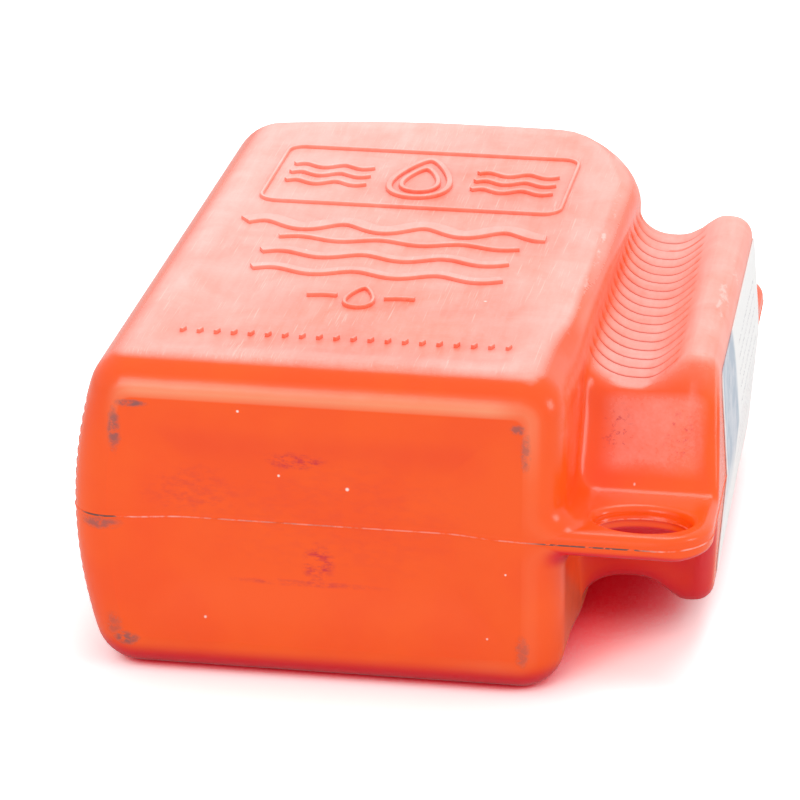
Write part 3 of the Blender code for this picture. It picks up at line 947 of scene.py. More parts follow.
def swept(name, path, radius, material, sides=8, closed=True):
    """A bead along world points."""
    settings = {"Bead Radius": radius * MM, "Bead Sides": sides}
    return along_path(name, path, closed, bead_tree, material, settings)


def joined(name, parts):
    """Several pieces as one."""
    shape = bmesh.new()
    for part in parts:
        shape.from_mesh(part.data)
    mesh = bpy.data.meshes.new(name)
    shape.to_mesh(mesh)
    shape.free()
    for part in parts:
        drop(part)
    return link(bpy.data.objects.new(name, mesh))


# ---------------------------------------------------------------- finishes

BOTTLE_MATERIAL = "orange_red_polyethylene"


def rgb(red, green, blue):
    return (red, green, blue, 1.0)


def plastic_colour(made, colours):
    """The moulding's colour, deeper in broad clouds, with a painted crimson shade on the faces that
    look down and a painted highlight band round the foot.
    """
    orange = rgb(*colours.plastic)
    deep = rgb(colours.plastic[0] * 0.93, colours.plastic[1] * 0.62, colours.plastic[2])
    broad = made.noise(0.045, 3.0, 0.5)
    colour = made.mix(broad.steps(0.65, 0.35) * 0.4, orange, deep)
    # Painted shade: the faces that look down turn dark crimson.
    colour = made.mix(made.normal(2).steps(-0.1, -0.62), colour, rgb(0.76, 0.006, 0.018))
    # Painted highlight: a pale band round the foot's rounding, strongest along the top edge.
    foot = made.attribute("foot_share")
    rubbed_and_highlit = made.z.steps(10.0, 26.0) * 0.5 + made.x.steps(20.0, 44.0) * 0.1 + 0.04
    rubbed_and_highlit = foot * rubbed_and_highlit * made.x.steps(-46.0, -38.0) * (1.0 - made.x.steps(34.0, 42.0) * 0.55)
    return made.mix(rubbed_and_highlit, colour, rgb(1.0, 0.46, 0.26))


def chalk_and_sheen_share(made, cloudy, grain):
    """Sun and handling have bleached what faces up, but not the rounded edges; a painted sheen of the
    overhead light lies on the same faces, and faces turned to the right get a painted highlight.
    """
    up = made.normal(2)
    brushed = made.noise(1.0, 3.0, 0.6, made.stretched((0.5, 0.05, 0.5), (0.0, 0.0, 0.35)))
    mottle = (cloudy - 0.5) * 0.62 + (grain - 0.5) * 0.16 + (brushed - 0.5) * 0.3
    far = made.y.steps(50.0, 160.0) * 0.13
    left = made.x.steps(15.0, -35.0) * made.y.steps(20.0, 60.0) * 0.1
    middle = made.spots((
        ((6.0, 30.0, 35.0), (38.0, 40.0, 30.0), 0.0, 0.14),
        ((10.0, 122.0, 35.0), (32.0, 26.0, 20.0), 0.5, 0.15),
    ))
    right = made.x.steps(5.0, 35.0) * made.x.steps(58.0, 50.0) * made.y.steps(60.0, 110.0) * 0.12
    rim = made.z.steps(34.65, 34.95) * up.steps(0.9, 0.99) * 0.1
    level = 0.56 + far + left - middle - right + rim
    # Chalking and painted sheen together on what faces up in the top half.
    chalk_and_sheen = up.steps(0.84, 0.985) * made.z.steps(12.0, 20.0) * (level + mottle)
    chalk_and_sheen = chalk_and_sheen.larger(made.z.steps(34.42, 34.6) * (level + mottle) * 0.5)
    beside = made.x.steps(38.0, 43.0) * made.z.steps(30.5, 32.5) * made.y.steps(40.0, 100.0)
    chalk_and_sheen = chalk_and_sheen.larger(up.steps(0.5, 0.85) * beside * (level - 0.08 + mottle))
    grip = made.x.steps(47.0, 52.0)
    channel = up.steps(0.25, 0.9) * grip * made.z.steps(17.0, 20.5) * made.y.steps(34.0, 42.0)
    chalk_and_sheen = chalk_and_sheen.larger(channel * (level - 0.04 + mottle))
    slope = made.x.steps(53.0, 59.0) * made.x.steps(77.0, 73.0) * made.z.steps(5.0, 9.0)
    slope = slope * made.z.steps(21.8, 18.6) * made.y.steps(80.0, 60.0)
    chalk_and_sheen = chalk_and_sheen.larger(slope * (0.24 + (cloudy - 0.5) * 0.5 + (grain - 0.5) * 0.2))
    # Painted highlight on the faces turned to the right, on the ridge and on the tank's wall.
    side = made.normal(0).steps(0.35, 0.8) * made.x.steps(70.0, 74.0) * made.z.steps(12.0, 24.0)
    chalk_and_sheen = chalk_and_sheen.larger(side * (0.5 + mottle) * made.y.steps(34.0, 42.0))
    wall = made.normal(0).steps(0.75, 0.95) * made.z.steps(15.0, 24.0)
    chalk_and_sheen = chalk_and_sheen.larger(wall * (0.05 + mottle * 0.4))
    # Rubbed pale at the shoulder corner; the long streaks on the panel's right edge and the ridge's
    # outer edge are also painted highlight.
    edge_wear_and_highlight = made.spots((
        ((41.0, 150.0, 31.0), (8.0, 20.0, 9.0), 0.8, 0.85),
        ((46.6, 96.0, 33.5), (1.6, 66.0, 3.0), 0.9, 0.95),
        ((75.5, 80.0, 28.0), (3.4, 48.0, 5.0), 0.9, 0.85),
    ))
    patchy = made.noise(0.34, 5.0, 0.7, made.stretched((1.0, 0.45, 1.0))).steps(0.42, 0.66)
    return chalk_and_sheen.larger(edge_wear_and_highlight * patchy).larger(0.0).smaller(1.0)


def bottle_finish(colours):
    """Orange-red polyethylene: chalked where the sun reached, with a painted sheen on what faces up,
    painted shade in grooves and reeds, scuffed at corners.
    """
    made = Finish(BOTTLE_MATERIAL)
    cloudy = made.noise(0.07, 5.0, 0.6, warp=0.6)
    grain = made.noise(1.3, 3.0, 0.6)
    chalk_and_sheen = chalk_and_sheen_share(made, cloudy, grain)
    colour = made.mix(chalk_and_sheen, plastic_colour(made, colours), rgb(*colours.chalk_and_sheen))
    # Painted shade: a dark orange-red line along the bottom of each groove.
    groove = made.attribute("groove_line").steps(0.2, 0.75) * 0.95
    colour = made.mix(groove, colour, rgb(0.68, 0.055, 0.02))
    # Painted shade: the hollows between the reeds turn nearly black-red.
    reed = made.attribute("reed_line").steps(0.35, 0.8) * 0.9
    colour = made.mix(reed, colour, rgb(0.2, 0.012, 0.015))
    colour = made.mix(smudges(made), colour, rgb(0.56, 0.01, 0.05))
    scratch = scratches(made)
    colour = made.mix(scratch * 0.4, colour, rgb(1.0, 0.74, 0.66))
    colour = made.mix(white_specks(made), colour, rgb(1.0, 0.85, 0.78))
    scuff = edge_scuffs(made)
    colour = made.mix(scuff * 0.78, colour, rgb(0.13, 0.10, 0.115))
    rough = 0.21 + chalk_and_sheen * 0.37 + scuff * 0.35 + (grain - 0.5) * 0.06
    made.set(Base_Color=colour, Roughness=rough, IOR=1.5, Specular_IOR_Level=0.4)
    fine = made.noise(2.6, 2.0, 0.5)
    waves = made.noise(0.12, 2.0, 0.5)
    height = fine * 0.22 + waves * 1.4 - scratch * 0.5 + grain * chalk_and_sheen * 0.4
    made.bump(height, 0.15, 0.5)
    return made.material


def smudges(made):
    """Dark-red stains on the push-up of the base and on the sloped end of the grip."""
    wisps = made.noise(0.55, 5.0, 0.68, made.stretched((0.5, 1.0, 1.2))).steps(0.4, 0.66)
    found = made.spots((
        ((-5.5, 2.0, 14.0), (8.0, 9.0, 2.6), 0.6, 1.0),
        ((-0.9, 2.0, -8.6), (4.6, 9.0, 5.6), 0.6, 1.0),
        ((-3.0, 2.0, -13.2), (20.0, 9.0, 0.9), 0.5, 0.6),
        ((-27.0, 2.0, 6.0), (13.0, 9.0, 7.0), 0.6, 0.35),
        ((3.0, 2.0, 2.0), (36.0, 9.0, 18.0), 0.6, 0.12),
    )) * wisps * made.y.steps(6.0, 5.0)
    flecks = made.noise(0.8, 4.0, 0.7).steps(0.54, 0.66)
    stained = made.spots((
        ((57.5, 33.0, 13.0), (4.0, 9.0, 7.0), 0.8, 0.8),
        ((70.5, 33.0, 12.0), (4.0, 9.0, 7.0), 0.8, 0.8),
    ))
    return found.larger(stained * flecks) * 0.75


def white_specks(made):
    """A few tiny marks where something has flicked the plastic."""
    marks = []
    for centre, size in (
        ((5.3, 3.0, 8.4), 0.55), ((34.8, 2.0, -22.2), 0.4), ((-24.5, 2.0, -21.5), 0.5),
        ((-9.0, 3.0, 10.5), 0.4), ((38.5, 1.5, -7.5), 0.35), ((-17.0, 0.3, 25.0), 0.4),
        ((62.0, 25.0, 6.0), 0.4), ((27.0, 48.0, 34.5), 0.5), ((-16.0, 72.0, 34.5), 0.45),
    ):
        reach = (size, 3.0, size) if centre[1] < BASE_RADIUS else (size, size, 3.0)
        marks.append((centre, reach, 0.0, 0.9))
    return made.spots(marks)


def edge_scuffs(made):
    """Smeared grey rubbing marks at the foot's corners and along the parting line."""
    found = made.spots((
        ((-39.4, 0.5, 25.4), (4.2, 5.0, 1.1), 0.7, 1.0),
        ((-43.0, 0.5, 19.5), (1.7, 6.0, 6.0), 0.7, 0.9),
        ((-41.5, 0.5, -27.4), (3.6, 5.0, 2.0), 0.8, 0.95),
        ((-44.0, 0.5, -24.5), (2.4, 5.0, 3.4), 0.9, 0.5),
        ((40.8, 0.5, 24.6), (2.2, 5.0, 1.4), 0.8, 0.8),
        ((42.4, 0.5, 19.5), (1.4, 5.0, 5.5), 0.9, 0.6),
        ((42.2, 0.5, -24.6), (1.8, 5.0, 4.4), 0.9, 0.5),
        ((-46.5, 0.8, -1.6), (5.6, 5.0, 1.7), 0.6, 0.8),
    ))
    return found * made.noise(0.6, 4.0, 0.6, made.stretched((0.8, 1.0, 1.0))).steps(0.3, 0.58)


def scratches(made):
    """Fine straight lines on the panel, each direction broken up by its own mask."""
    found = None
    for turn, scale in ((0.42, 4.5), (-0.9, 3.6), (1.25, 4.0)):
        vector = made.stretched((1.0, 0.02, 0.3), (0.0, 0.0, turn))
        apart = made.noise(0.05, 2.0, 0.5, made.stretched((1.0, 1.0, 1.0), (turn, 0.0, turn)))
        line = made.noise(scale, 0.0, 0.4, vector).steps(0.7, 0.78) * apart.steps(0.5, 0.6)
        found = line if found is None else found.larger(line)
    return found * made.normal(2).steps(0.9, 0.98) * made.z.steps(32.0, 34.0)


def flash_finish(colours):
    """The parting line: pale where it has rubbed, dark where dirt has caught on it."""
    made = Finish("rubbed_parting_line")
    broken = made.noise(0.3, 4.0, 0.65)
    rubbed_and_highlit = made.y.steps(9.0, 6.0) * made.x.steps(-53.0, -46.0)
    rubbed_and_highlit = rubbed_and_highlit.larger(made.spot((HOLE_X, HOLE_Y, 0.0), (13.0, 10.0, 4.0)))
    pale = rubbed_and_highlit * broken.steps(0.36, 0.56)
    strong = made.spot((-36.0, 0.0, 0.0), (9.0, 6.0, 4.0)) * 0.25 + made.x.steps(46.0, 52.0) * 0.15
    colour = made.mix(pale * (0.3 + strong), rgb(*colours.plastic), rgb(*colours.chalk_and_sheen))
    dirt = made.noise(0.6, 4.0, 0.7, made.stretched((0.5, 1.0, 1.0))).steps(0.4, 0.5)
    place = made.spots((
        ((56.0, 0.0, 0.0), (15.0, 6.0, 6.0), 0.0, 1.0),
        ((-46.5, 0.0, 0.0), (6.0, 5.0, 6.0), 0.0, 0.7),
        ((-8.0, 2.0, 0.0), (22.0, 6.0, 6.0), 0.0, 0.15),
    ))
    colour = made.mix((dirt * place * 1.4).smaller(0.9), colour, rgb(0.07, 0.06, 0.055))
    made.set(Base_Color=colour, Roughness=0.45 + broken * 0.2, Specular_IOR_Level=0.3)
    made.bump(made.noise(2.0, 3.0), 0.3, 0.2)
    return made.material


def white_plastic_finish(name, colour):
    """Satin polypropylene with a faint mould grain and handling marks."""
    made = Finish(name)
    dirt = made.noise(0.3, 4.0, 0.6)
    shade = made.mix(dirt.steps(0.5, 0.75) * 0.4, rgb(*colour), rgb(0.62, 0.58, 0.52))
    made.set(Base_Color=shade, Roughness=0.38 + dirt * 0.12)
    made.bump(made.noise(3.0, 2.0), 0.12, 0.1)
    return made.material


def foam_finish():
    made = Finish("white_foam_liner")
    values = {"Vector": made.place, "Scale": 2.4}
    cells = made.node("ShaderNodeTexVoronoi", {"feature": "F1"}, values)
    shade = made.mix(cells.steps(0.1, 0.6) * 0.5, rgb(0.72, 0.71, 0.68), rgb(0.88, 0.88, 0.86))
    made.set(Base_Color=shade, Roughness=0.6 + cells * 0.2)
    made.bump(cells, 0.3, 0.2)
    return made.material


def label_finish(colours):
    """White film with a grey-blue field and rows of plain printed dashes."""
    made = Finish("printed_label_film")
    wear = made.noise(0.35, 4.0, 0.65)
    white = made.mix(wear.steps(0.5, 0.8) * 0.3, rgb(*colours.label), rgb(0.80, 0.79, 0.77))
    edge = made.y + (made.z - 10.0) * 0.5 * made.z.steps(0.0, 30.0)
    field = edge.steps(77.0, 73.0) * made.y.steps(43.5, 45.5) * made.z.steps(-16.0, 4.0)
    cloudy = made.noise(0.16, 4.0, 0.6).steps(0.35, 0.65)
    blue = made.mix(cloudy, rgb(0.30, 0.40, 0.52), rgb(0.55, 0.60, 0.68))
    colour = made.mix(field * 0.85, white, blue)
    colour = made.mix(printed_rows(made), colour, rgb(0.34, 0.31, 0.36))
    made.set(Base_Color=colour, Roughness=0.3 + wear * 0.2)
    made.bump(made.noise(0.8, 3.0), 0.15, 0.08)
    return made.material


def printed_rows(made):
    """Short grey dashes in even rows, standing for small print."""
    row = (made.z / 3.4).maths("FRACT")
    dash = made.noise(1.0, 1.0, 0.5, made.stretched((0.0, 0.7, 3.0)))
    line = row.steps(0.30, 0.36) * row.steps(0.62, 0.56) * dash.steps(0.5, 0.55)
    area = made.y.steps(82.0, 83.0) * made.y.steps(126.0, 125.0)
    area = area * made.z.steps(-15.0, -14.0) * made.z.steps(17.5, 16.5)
    return line * area * 0.6


# ---------------------------------------------------------------- settings

def length_setting(name, text, millimetres):
    """A length in a sidebar group."""
    return bpy.props.FloatProperty(
        name=name, description=text, default=millimetres * MM, unit="LENGTH", subtype="DISTANCE")


def colour_setting(name, text, colour):
    """A colour in a sidebar group."""
    return bpy.props.FloatVectorProperty(
        name=name, description=text, default=colour, subtype="COLOR", size=3)


class BottleSizes(bpy.types.PropertyGroup):
    """Sizes of the relief on the bottle and its closure."""

    groove_pitch: length_setting("Groove pitch", "Distance between two grooves of a channel", 5.4)
    groove_depth: length_setting("Groove depth", "Depth of each groove", 0.55)
    groove_width: length_setting("Groove width", "Width of each groove at the surface", 1.15)
    reed_pitch: length_setting("Reed pitch", "Distance between the reeds of the closed side", 2.4)
    reed_depth: length_setting("Reed depth", "Depth between two reeds", 0.6)
    flash_radius: length_setting("Flash radius", "Radius of the line left by the mould's parting", 0.19)
    relief_width: length_setting("Relief width", "Width of the raised lines on the front panel", 1.5)
    thread_pitch: length_setting("Thread pitch", "Rise of the neck's thread in one turn", 4.233)
    cap_ribs: bpy.props.IntProperty(
        name="Cap ribs", description="Number of upright grip ribs round the cap", default=90)


class BottleColours(bpy.types.PropertyGroup):
    """Colours of the bottle's materials."""

    plastic: colour_setting("Plastic", "Orange-red of the moulding", (1.0, 0.104, 0.006))
    # Pale pink of the chalky top, used for its painted sheen as well.
    chalk_and_sheen: colour_setting("Chalk", "Pale pink of the bleached top", (1.0, 0.64, 0.585))
    closure: colour_setting("Closure", "White of the cap and the band", (0.80, 0.79, 0.76))
    label: colour_setting("Label", "White of the label film", (0.94, 0.94, 0.93))


# ---------------------------------------------------------------- operators

def bottle_plastic(scene):
    """The bottle's own material, made by the first operator that needs it."""
    return bpy.data.materials.get(BOTTLE_MATERIAL) or bottle_finish(scene.oil_bottle_colours)


class OILBOTTLE_OT_shell(bpy.types.Operator):
    """Build the bottle's skin with its grooves, reeds and hanging hole"""

    bl_idname = "oil_bottle.shell"
    bl_label = "Bottle skin"

    def execute(self, context):
        sizes = context.scene.oil_bottle_sizes
        material = bottle_plastic(context.scene)
        skin = skin_mesh(sizes.groove_pitch / MM)
        tree, moved = relief_tree()
        tree.close(moved, material)
        tree.apply(skin, {
            "Groove Start": ORIGIN.y + GROOVE_START * MM,
            "Groove Pitch": sizes.groove_pitch,
            "Groove Width": sizes.groove_width,
            "Groove Depth": sizes.groove_depth,
            "Reed Pitch": sizes.reed_pitch,
            "Reed Depth": sizes.reed_depth,
            "Middle": ORIGIN.z,
        })
        cut_hole(skin)
        finished(skin, material, "shell", 42.0)
        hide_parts("bottle")
        lip = hole_lip()
        finished(lip, material, "shell", 60.0)
        return {"FINISHED"}


def oval(k, spread):
    """(x, y) of one point round the hanging hole."""
    angle = 2.0 * math.pi * k / HOLE_SEGMENTS
    return (
        HOLE_X + (HOLE_HALF_WIDTH + spread) * math.cos(angle),
        HOLE_Y + (HOLE_HALF_HEIGHT + spread) * math.sin(angle),
    )


def cut_hole(skin):
    """Take an oval prism out of the web, a lip wider than the hole."""
    points = []
    count = HOLE_SEGMENTS
    reach = WEB_HALF_THICKNESS + 1.0
    for z in (-reach, reach):
        points += [world(*oval(k, HOLE_LIP), z) for k in range(count)]
    faces = [tuple(range(count))[::-1], tuple(range(count, 2 * count))]
    for k in range(count):
        after = (k + 1) % count
        faces.append((k, after, count + after, count + k))
    cutter = piece("hole cutter", points, faces)
    weld(cutter)
    made = skin.modifiers.new("hole", "BOOLEAN")
    made.object = cutter
    made.operation = "DIFFERENCE"
    made.solver = "EXACT"
    flatten(skin)
    drop(cutter)
    shape = bmesh.new()
    shape.from_mesh(skin.data)
    inside = [face for face in shape.faces if is_hole_wall(face)]
    bmesh.ops.delete(shape, geom=inside, context="FACES_ONLY")
    shape.to_mesh(skin.data)
    shape.free()


def is_hole_wall(face):
    """True for a face that the prism left upright inside the web."""
    here = (face.calc_center_median() - ORIGIN) / MM
    if abs(face.normal.z) > 0.5 or abs(here.z) > WEB_HALF_THICKNESS:
        return False
    across = (here.x - HOLE_X) / (HOLE_HALF_WIDTH + HOLE_LIP)
    along = (here.y - HOLE_Y) / (HOLE_HALF_HEIGHT + HOLE_LIP)
    return 0.9 < math.hypot(across, along) < 1.1


def hole_lip():
    """The rounded edge and the wall of the hanging hole, with its parting line."""
    profile = bend(
        (HOLE_LIP, WEB_HALF_THICKNESS - HOLE_LIP), (HOLE_LIP, HOLE_LIP), 1.0, 2.0, 6, 0)
    profile += [(0.0, 0.3), (-0.22, 0.08)]
    profile += [(spread, -z) for spread, z in reversed(profile)]
    points = []
    for k in range(HOLE_SEGMENTS):
        points += [world(*oval(k, spread), z) for spread, z in profile]
    return piece("hanging_hole_lip", points, ring_faces(HOLE_SEGMENTS, len(profile), False))


class OILBOTTLE_OT_parting(bpy.types.Operator):
    """Build the thin flash that the parting of the mould left"""

    bl_idname = "oil_bottle.parting"
    bl_label = "Parting flash"

    def execute(self, context):
        radius = context.scene.oil_bottle_sizes.flash_radius / MM
        material = flash_finish(context.scene.oil_bottle_colours)
        left = []
        right = []
        for y, inset in stations(context.scene.oil_bottle_sizes.groove_pitch / MM):
            for side, x in (
                (left, pillow(0.0, inset) + 0.5 * radius), (right, outline_right(y) - 0.5 * radius),
            ):
                side.append(world(x, y + shoulder_shift(x, y), 0.0))
        foot = []
        start = (left[0] - ORIGIN).x / MM
        end = (right[0] - ORIGIN).x / MM
        for share in shares(90)[:-1]:
            x = start + share * (end - start)
            inset = WALL_RIGHT - x if x > 0.0 else BASE_RADIUS + x - start
            foot.append(world(x, base_rise(inset) + 0.4 * radius, 0.0))
        outline = swept(
            "parting_flash", left[::-1] + foot + right, radius, material, closed=False)
        ring = [world(*oval(k, -0.2), 0.0) for k in range(HOLE_SEGMENTS)]
        made = joined("parting_flash", [outline, swept("hole flash", ring, 0.9 * radius, material)])
        finished(made, material, "shell", 60.0)
        return {"FINISHED"}


class OILBOTTLE_OT_panel(bpy.types.Operator):
    """Build the raised frame and the plain drop-and-wave relief of the front panel"""

    bl_idname = "oil_bottle.panel"
    bl_label = "Panel relief"

    def execute(self, context):
        width = context.scene.oil_bottle_sizes.relief_width / MM
        material = bottle_plastic(context.scene)
        lines = [raised("frame line", rounded_frame(), 0.6 * width, material, True)]
        for name, centre, size, share in DROPS:
            lines.append(raised(name, drop_outline(centre, size), share * width, material, True))
        for start, end in SHORT_WAVES_X:
            for y in SHORT_WAVES_Y:
                path = wave(start, end, y, 1.1, 2.0)
                lines.append(raised("short wave", path, 0.9 * width, material, False))
        for start, end, y, swing, share in WAVES:
            path = wave(start, end, y, swing, abs(end - start) / WAVE_LENGTH)
            lines.append(raised("wave", path, share * width, material, False))
        for k in range(MARK_COUNT):
            x = MARK_START[0] + MARK_PITCH * k
            path = [(x, MARK_START[1]), (x + MARK_REACH[0], MARK_START[1] + MARK_REACH[1])]
            lines.append(raised("measure mark", path, 0.5 * width, material, False))
        made = joined("panel_relief", lines)
        finished(made, material, "shell", 60.0)
        return {"FINISHED"}


def raised(name, path, width, material, closed):
    """A flat bar, half sunk in the panel."""
    level = HALF_THICKNESS - PANEL_SINK
    return along_path(name, [world(x, y, level) for x, y in path], closed, bar_tree, material, {
        "Bar Width": width * MM, "Bar Height": 2.0 * RELIEF_HEIGHT * MM,
        "Edge Radius": min(RELIEF_EDGE, 0.3 * width) * MM,
    })


def rounded_frame():
    """The rounded rectangle near the shoulder, as (x, y)."""
    left, right = FRAME_SIDES
    near, far = FRAME_ENDS
    path = []
    for turn, centre in enumerate(((right, far), (left, far), (left, near), (right, near))):
        path += bend(centre, (FRAME_CORNER, FRAME_CORNER), turn, turn + 1.0, 8, 0)
    return path


def drop_outline(centre, size):
    """A plain drop that points away from the base."""
    path = []
    for k in range(48):
        angle = 2.0 * math.pi * k / 48
        width = size * math.sin(angle) * (0.27 + 0.4 * math.sin(0.5 * angle) ** 2)
        path.append((centre[0] + width, centre[1] + size * math.cos(angle)))
    return path


def wave(start, end, y, swing, periods):
    """A sine line across the panel, as (x, y)."""
    path = []
    count = max(8, int(24 * periods))
    for k in range(count + 1):
        share = k / count
        path.append((
            start + (end - start) * share,
            y + swing * math.sin(2.0 * math.pi * periods * share),
        ))
    return path


class OILBOTTLE_OT_neck(bpy.types.Operator):
    """Build the neck with its bead, thread and bore"""

    bl_idname = "oil_bottle.neck"
    bl_label = "Neck and thread"

    def execute(self, context):
        material = bottle_plastic(context.scene)
        neck = revolve("neck", neck_profile())
        finished(neck, material, "shell", 40.0)
        pitch = context.scene.oil_bottle_sizes.thread_pitch / MM
        path = []
        for k in range(THREAD_STEPS + 1):
            share = k / THREAD_STEPS
            fade = min(1.0, 8.0 * share, 8.0 * (1.0 - share))
            path.append(on_neck(
                NECK_RADIUS - 0.6 + THREAD_RISE * fade, 2.0 * math.pi * THREAD_TURNS * share,
                THREAD_TOP - pitch * THREAD_TURNS * share))
        thread = swept("neck_thread", path, THREAD_RADIUS, material, 12, closed=False)
        finished(thread, material, "shell", 60.0)
        return {"FINISHED"}


def neck_profile():
    """(radius, height) outline of the neck from the shoulder up and down the bore."""
    bead_end = BEAD_START + BEAD_WIDTH
    profile = [(NECK_RADIUS + NECK_FILLET, -NECK_SINK)]
    fillet = (NECK_FILLET, NECK_FILLET)
    profile += bend((NECK_RADIUS + NECK_FILLET, NECK_FILLET), fillet, 3.0, 2.0, 8, 0)
    return profile + [
        (NECK_RADIUS, BEAD_START),
        (BEAD_RADIUS, BEAD_START + BEAD_SLOPE),
        (BEAD_RADIUS, bead_end - BEAD_SLOPE),
        (NECK_RADIUS, bead_end),
        (NECK_RADIUS, NECK_LENGTH - NECK_CHAMFER),
        (NECK_RADIUS - 0.2, NECK_LENGTH - 0.15),
        (NECK_RADIUS - NECK_CHAMFER, NECK_LENGTH),
        (BORE_RADIUS + 0.4, NECK_LENGTH),
        (BORE_RADIUS, NECK_LENGTH - 0.4),
        (BORE_RADIUS, BORE_BOTTOM),
        (BORE_RADIUS + 1.0, BORE_BOTTOM),
        (BORE_RADIUS + 1.0, -NECK_SINK),
    ]


class OILBOTTLE_OT_closure(bpy.types.Operator):
    """Build the ribbed cap and finish the liner and the tamper band"""

    bl_idname = "oil_bottle.closure"
    bl_label = "Cap, liner and band"

    def execute(self, context):
        colour = context.scene.oil_bottle_colours.closure
        material = white_plastic_finish("white_polypropylene", colour)
        cap = revolve("cap_shell", cap_profile(), 180)
        cap.data.materials.append(material)
        ribs = ribs_round(
            "cap ribs", context.scene.oil_bottle_sizes.cap_ribs, CAP_RADIUS, CAP_RIB_HEIGHT,
            CAP_SKIRT + 1.0, CAP_ROOF - 0.6, material)
        cap = joined("cap_shell", [cap, ribs])
        finished(cap, material, "screw_cap", 40.0)
        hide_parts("cap")
        nibs = ribs_round(
            "band_nibs", BAND_NIBS, NECK_RADIUS + CLEARANCE + 2.0, 0.4,
            CAP_SKIRT - CLEARANCE - 0.6, CAP_SKIRT - 0.05, material)
        finished(nibs, material, "band", 40.0)
        band_material = white_plastic_finish("white_polypropylene_band", colour)
        for name, finish in (("tamper_band", band_material), ("cap_liner", foam_finish())):
            mesh = frame["nodes"][name].data
            mesh.materials.clear()
            mesh.materials.append(finish)
        return {"FINISHED"}


def cap_profile():
    """(radius, height) outline of the cap, from inside its roof round to the top."""
    inner = BEAD_RADIUS + CLEARANCE
    outer = CAP_RADIUS
    top = CAP_ROOF + CAP_TOP_THICKNESS
    profile = [
        (0.0, CAP_ROOF), (inner, CAP_ROOF), (inner, CAP_SKIRT + 0.3), (inner + 0.3, CAP_SKIRT),
        (outer - 0.3, CAP_SKIRT), (outer, CAP_SKIRT + 0.3),
    ]
    centre = (outer - CAP_EDGE_RADIUS, top - CAP_EDGE_RADIUS)
    profile += bend(centre, (CAP_EDGE_RADIUS, CAP_EDGE_RADIUS), 0.0, 1.0, 8, 0)
    low = top - CAP_RECESS
    return profile + [(outer - CAP_RIM, top), (outer - CAP_RIM - 0.5, low), (0.0, low)]


def ribs_round(name, count, ring_radius, rib_radius, low, high, material):
    """Upright ribs round the neck's axis, between two heights over the shoulder."""
    made = piece(name, [world(0.0, 0.0, 0.0)], [])
    tree, ribs = rib_tree()
    tree.close(ribs, material)
    tree.apply(made, {
        "Rib Count": count, "Ring Radius": ring_radius * MM,
        "Rib Radius": rib_radius * MM, "Rib Length": (high - low) * MM,
        "Centre": world(NECK_X, LENGTH + 0.5 * (low + high), 0.0),
    })
    return made


class OILBOTTLE_OT_label(bpy.types.Operator):
    """Build the film label on the outer face of the grip"""

    bl_idname = "oil_bottle.label"
    bl_label = "Side label"

    def execute(self, context):
        points = []
        for row in range(LABEL_ROWS + 1):
            y = LABEL_START + (LABEL_END - LABEL_START) * row / LABEL_ROWS
            fall = LABEL_CORNER - min(y - LABEL_START, LABEL_END - y, LABEL_CORNER)
            width = LABEL_HALF_WIDTH - LABEL_CORNER
            width += math.sqrt(max(0.0, LABEL_CORNER ** 2 - fall * fall))
            for column in range(LABEL_COLUMNS + 1):
                z = width * (2.0 * column / LABEL_COLUMNS - 1.0)
                points.append(world(outline_right(y) - FACE_DRAFT * abs(z) + LABEL_LIFT, y, z))
        across = LABEL_COLUMNS + 1
        faces = []
        for row in range(LABEL_ROWS):
            for k in range(row * across, row * across + LABEL_COLUMNS):
                faces.append((k, k + across, k + across + 1, k + 1))
        label = piece("label_film", points, faces)
        weld(label)
        shell = label.modifiers.new("film thickness", "SOLIDIFY")
        shell.thickness = LABEL_THICKNESS * MM
        shell.offset = 1.0
        flatten(label)
        material = label_finish(context.scene.oil_bottle_colours)
        finished(label, material, "shell", 50.0)
        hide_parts("side_label")
        return {"FINISHED"}


# Stage, in metres: name, place, target, size and watts of each lamp.
LAMPS = (
    ("overhead softbox", (0.15, 0.30, 1.3), (0.0, 0.0, 0.03), 0.7, 6.0),
    ("front softbox", (-0.5, -1.3, 0.55), (0.0, 0.0, 0.03), 0.6, 4.1),
    ("right softbox", (1.2, -0.3, 0.4), (0.05, 0.0, 0.03), 0.4, 2.5),
)
FLOOR_REACH = 3.0
# Millimetres of the mould frame, and degrees; the first is how far the floor's painted red shade
# reaches.
RED_SHADE_REACH = 60.0
CAMERA_PLACE = (149.47, -797.06, 343.13)
CAMERA_LENS = 192.7
CAMERA_DOWN = 21.2
CAMERA_TURN = 9.46


class OILBOTTLE_OT_studio(bpy.types.Operator):
    """Build the floor, the lights, the world and the camera"""

    bl_idname = "oil_bottle.studio"
    bl_label = "Studio"

    def execute(self, context):
        scene = context.scene
        scene.view_settings.view_transform = "Standard"
        corners = ((-1, -1), (1, -1), (1, 1), (-1, 1))
        floor = piece("floor", [FLOOR_REACH * Vector((*k, 0)) for k in corners], [(0, 1, 2, 3)])
        floor.data.materials.append(floor_finish())
        white_surroundings(scene)
        for lamp in LAMPS:
            soft_light(*lamp)
        place_camera(scene)
        return {"FINISHED"}


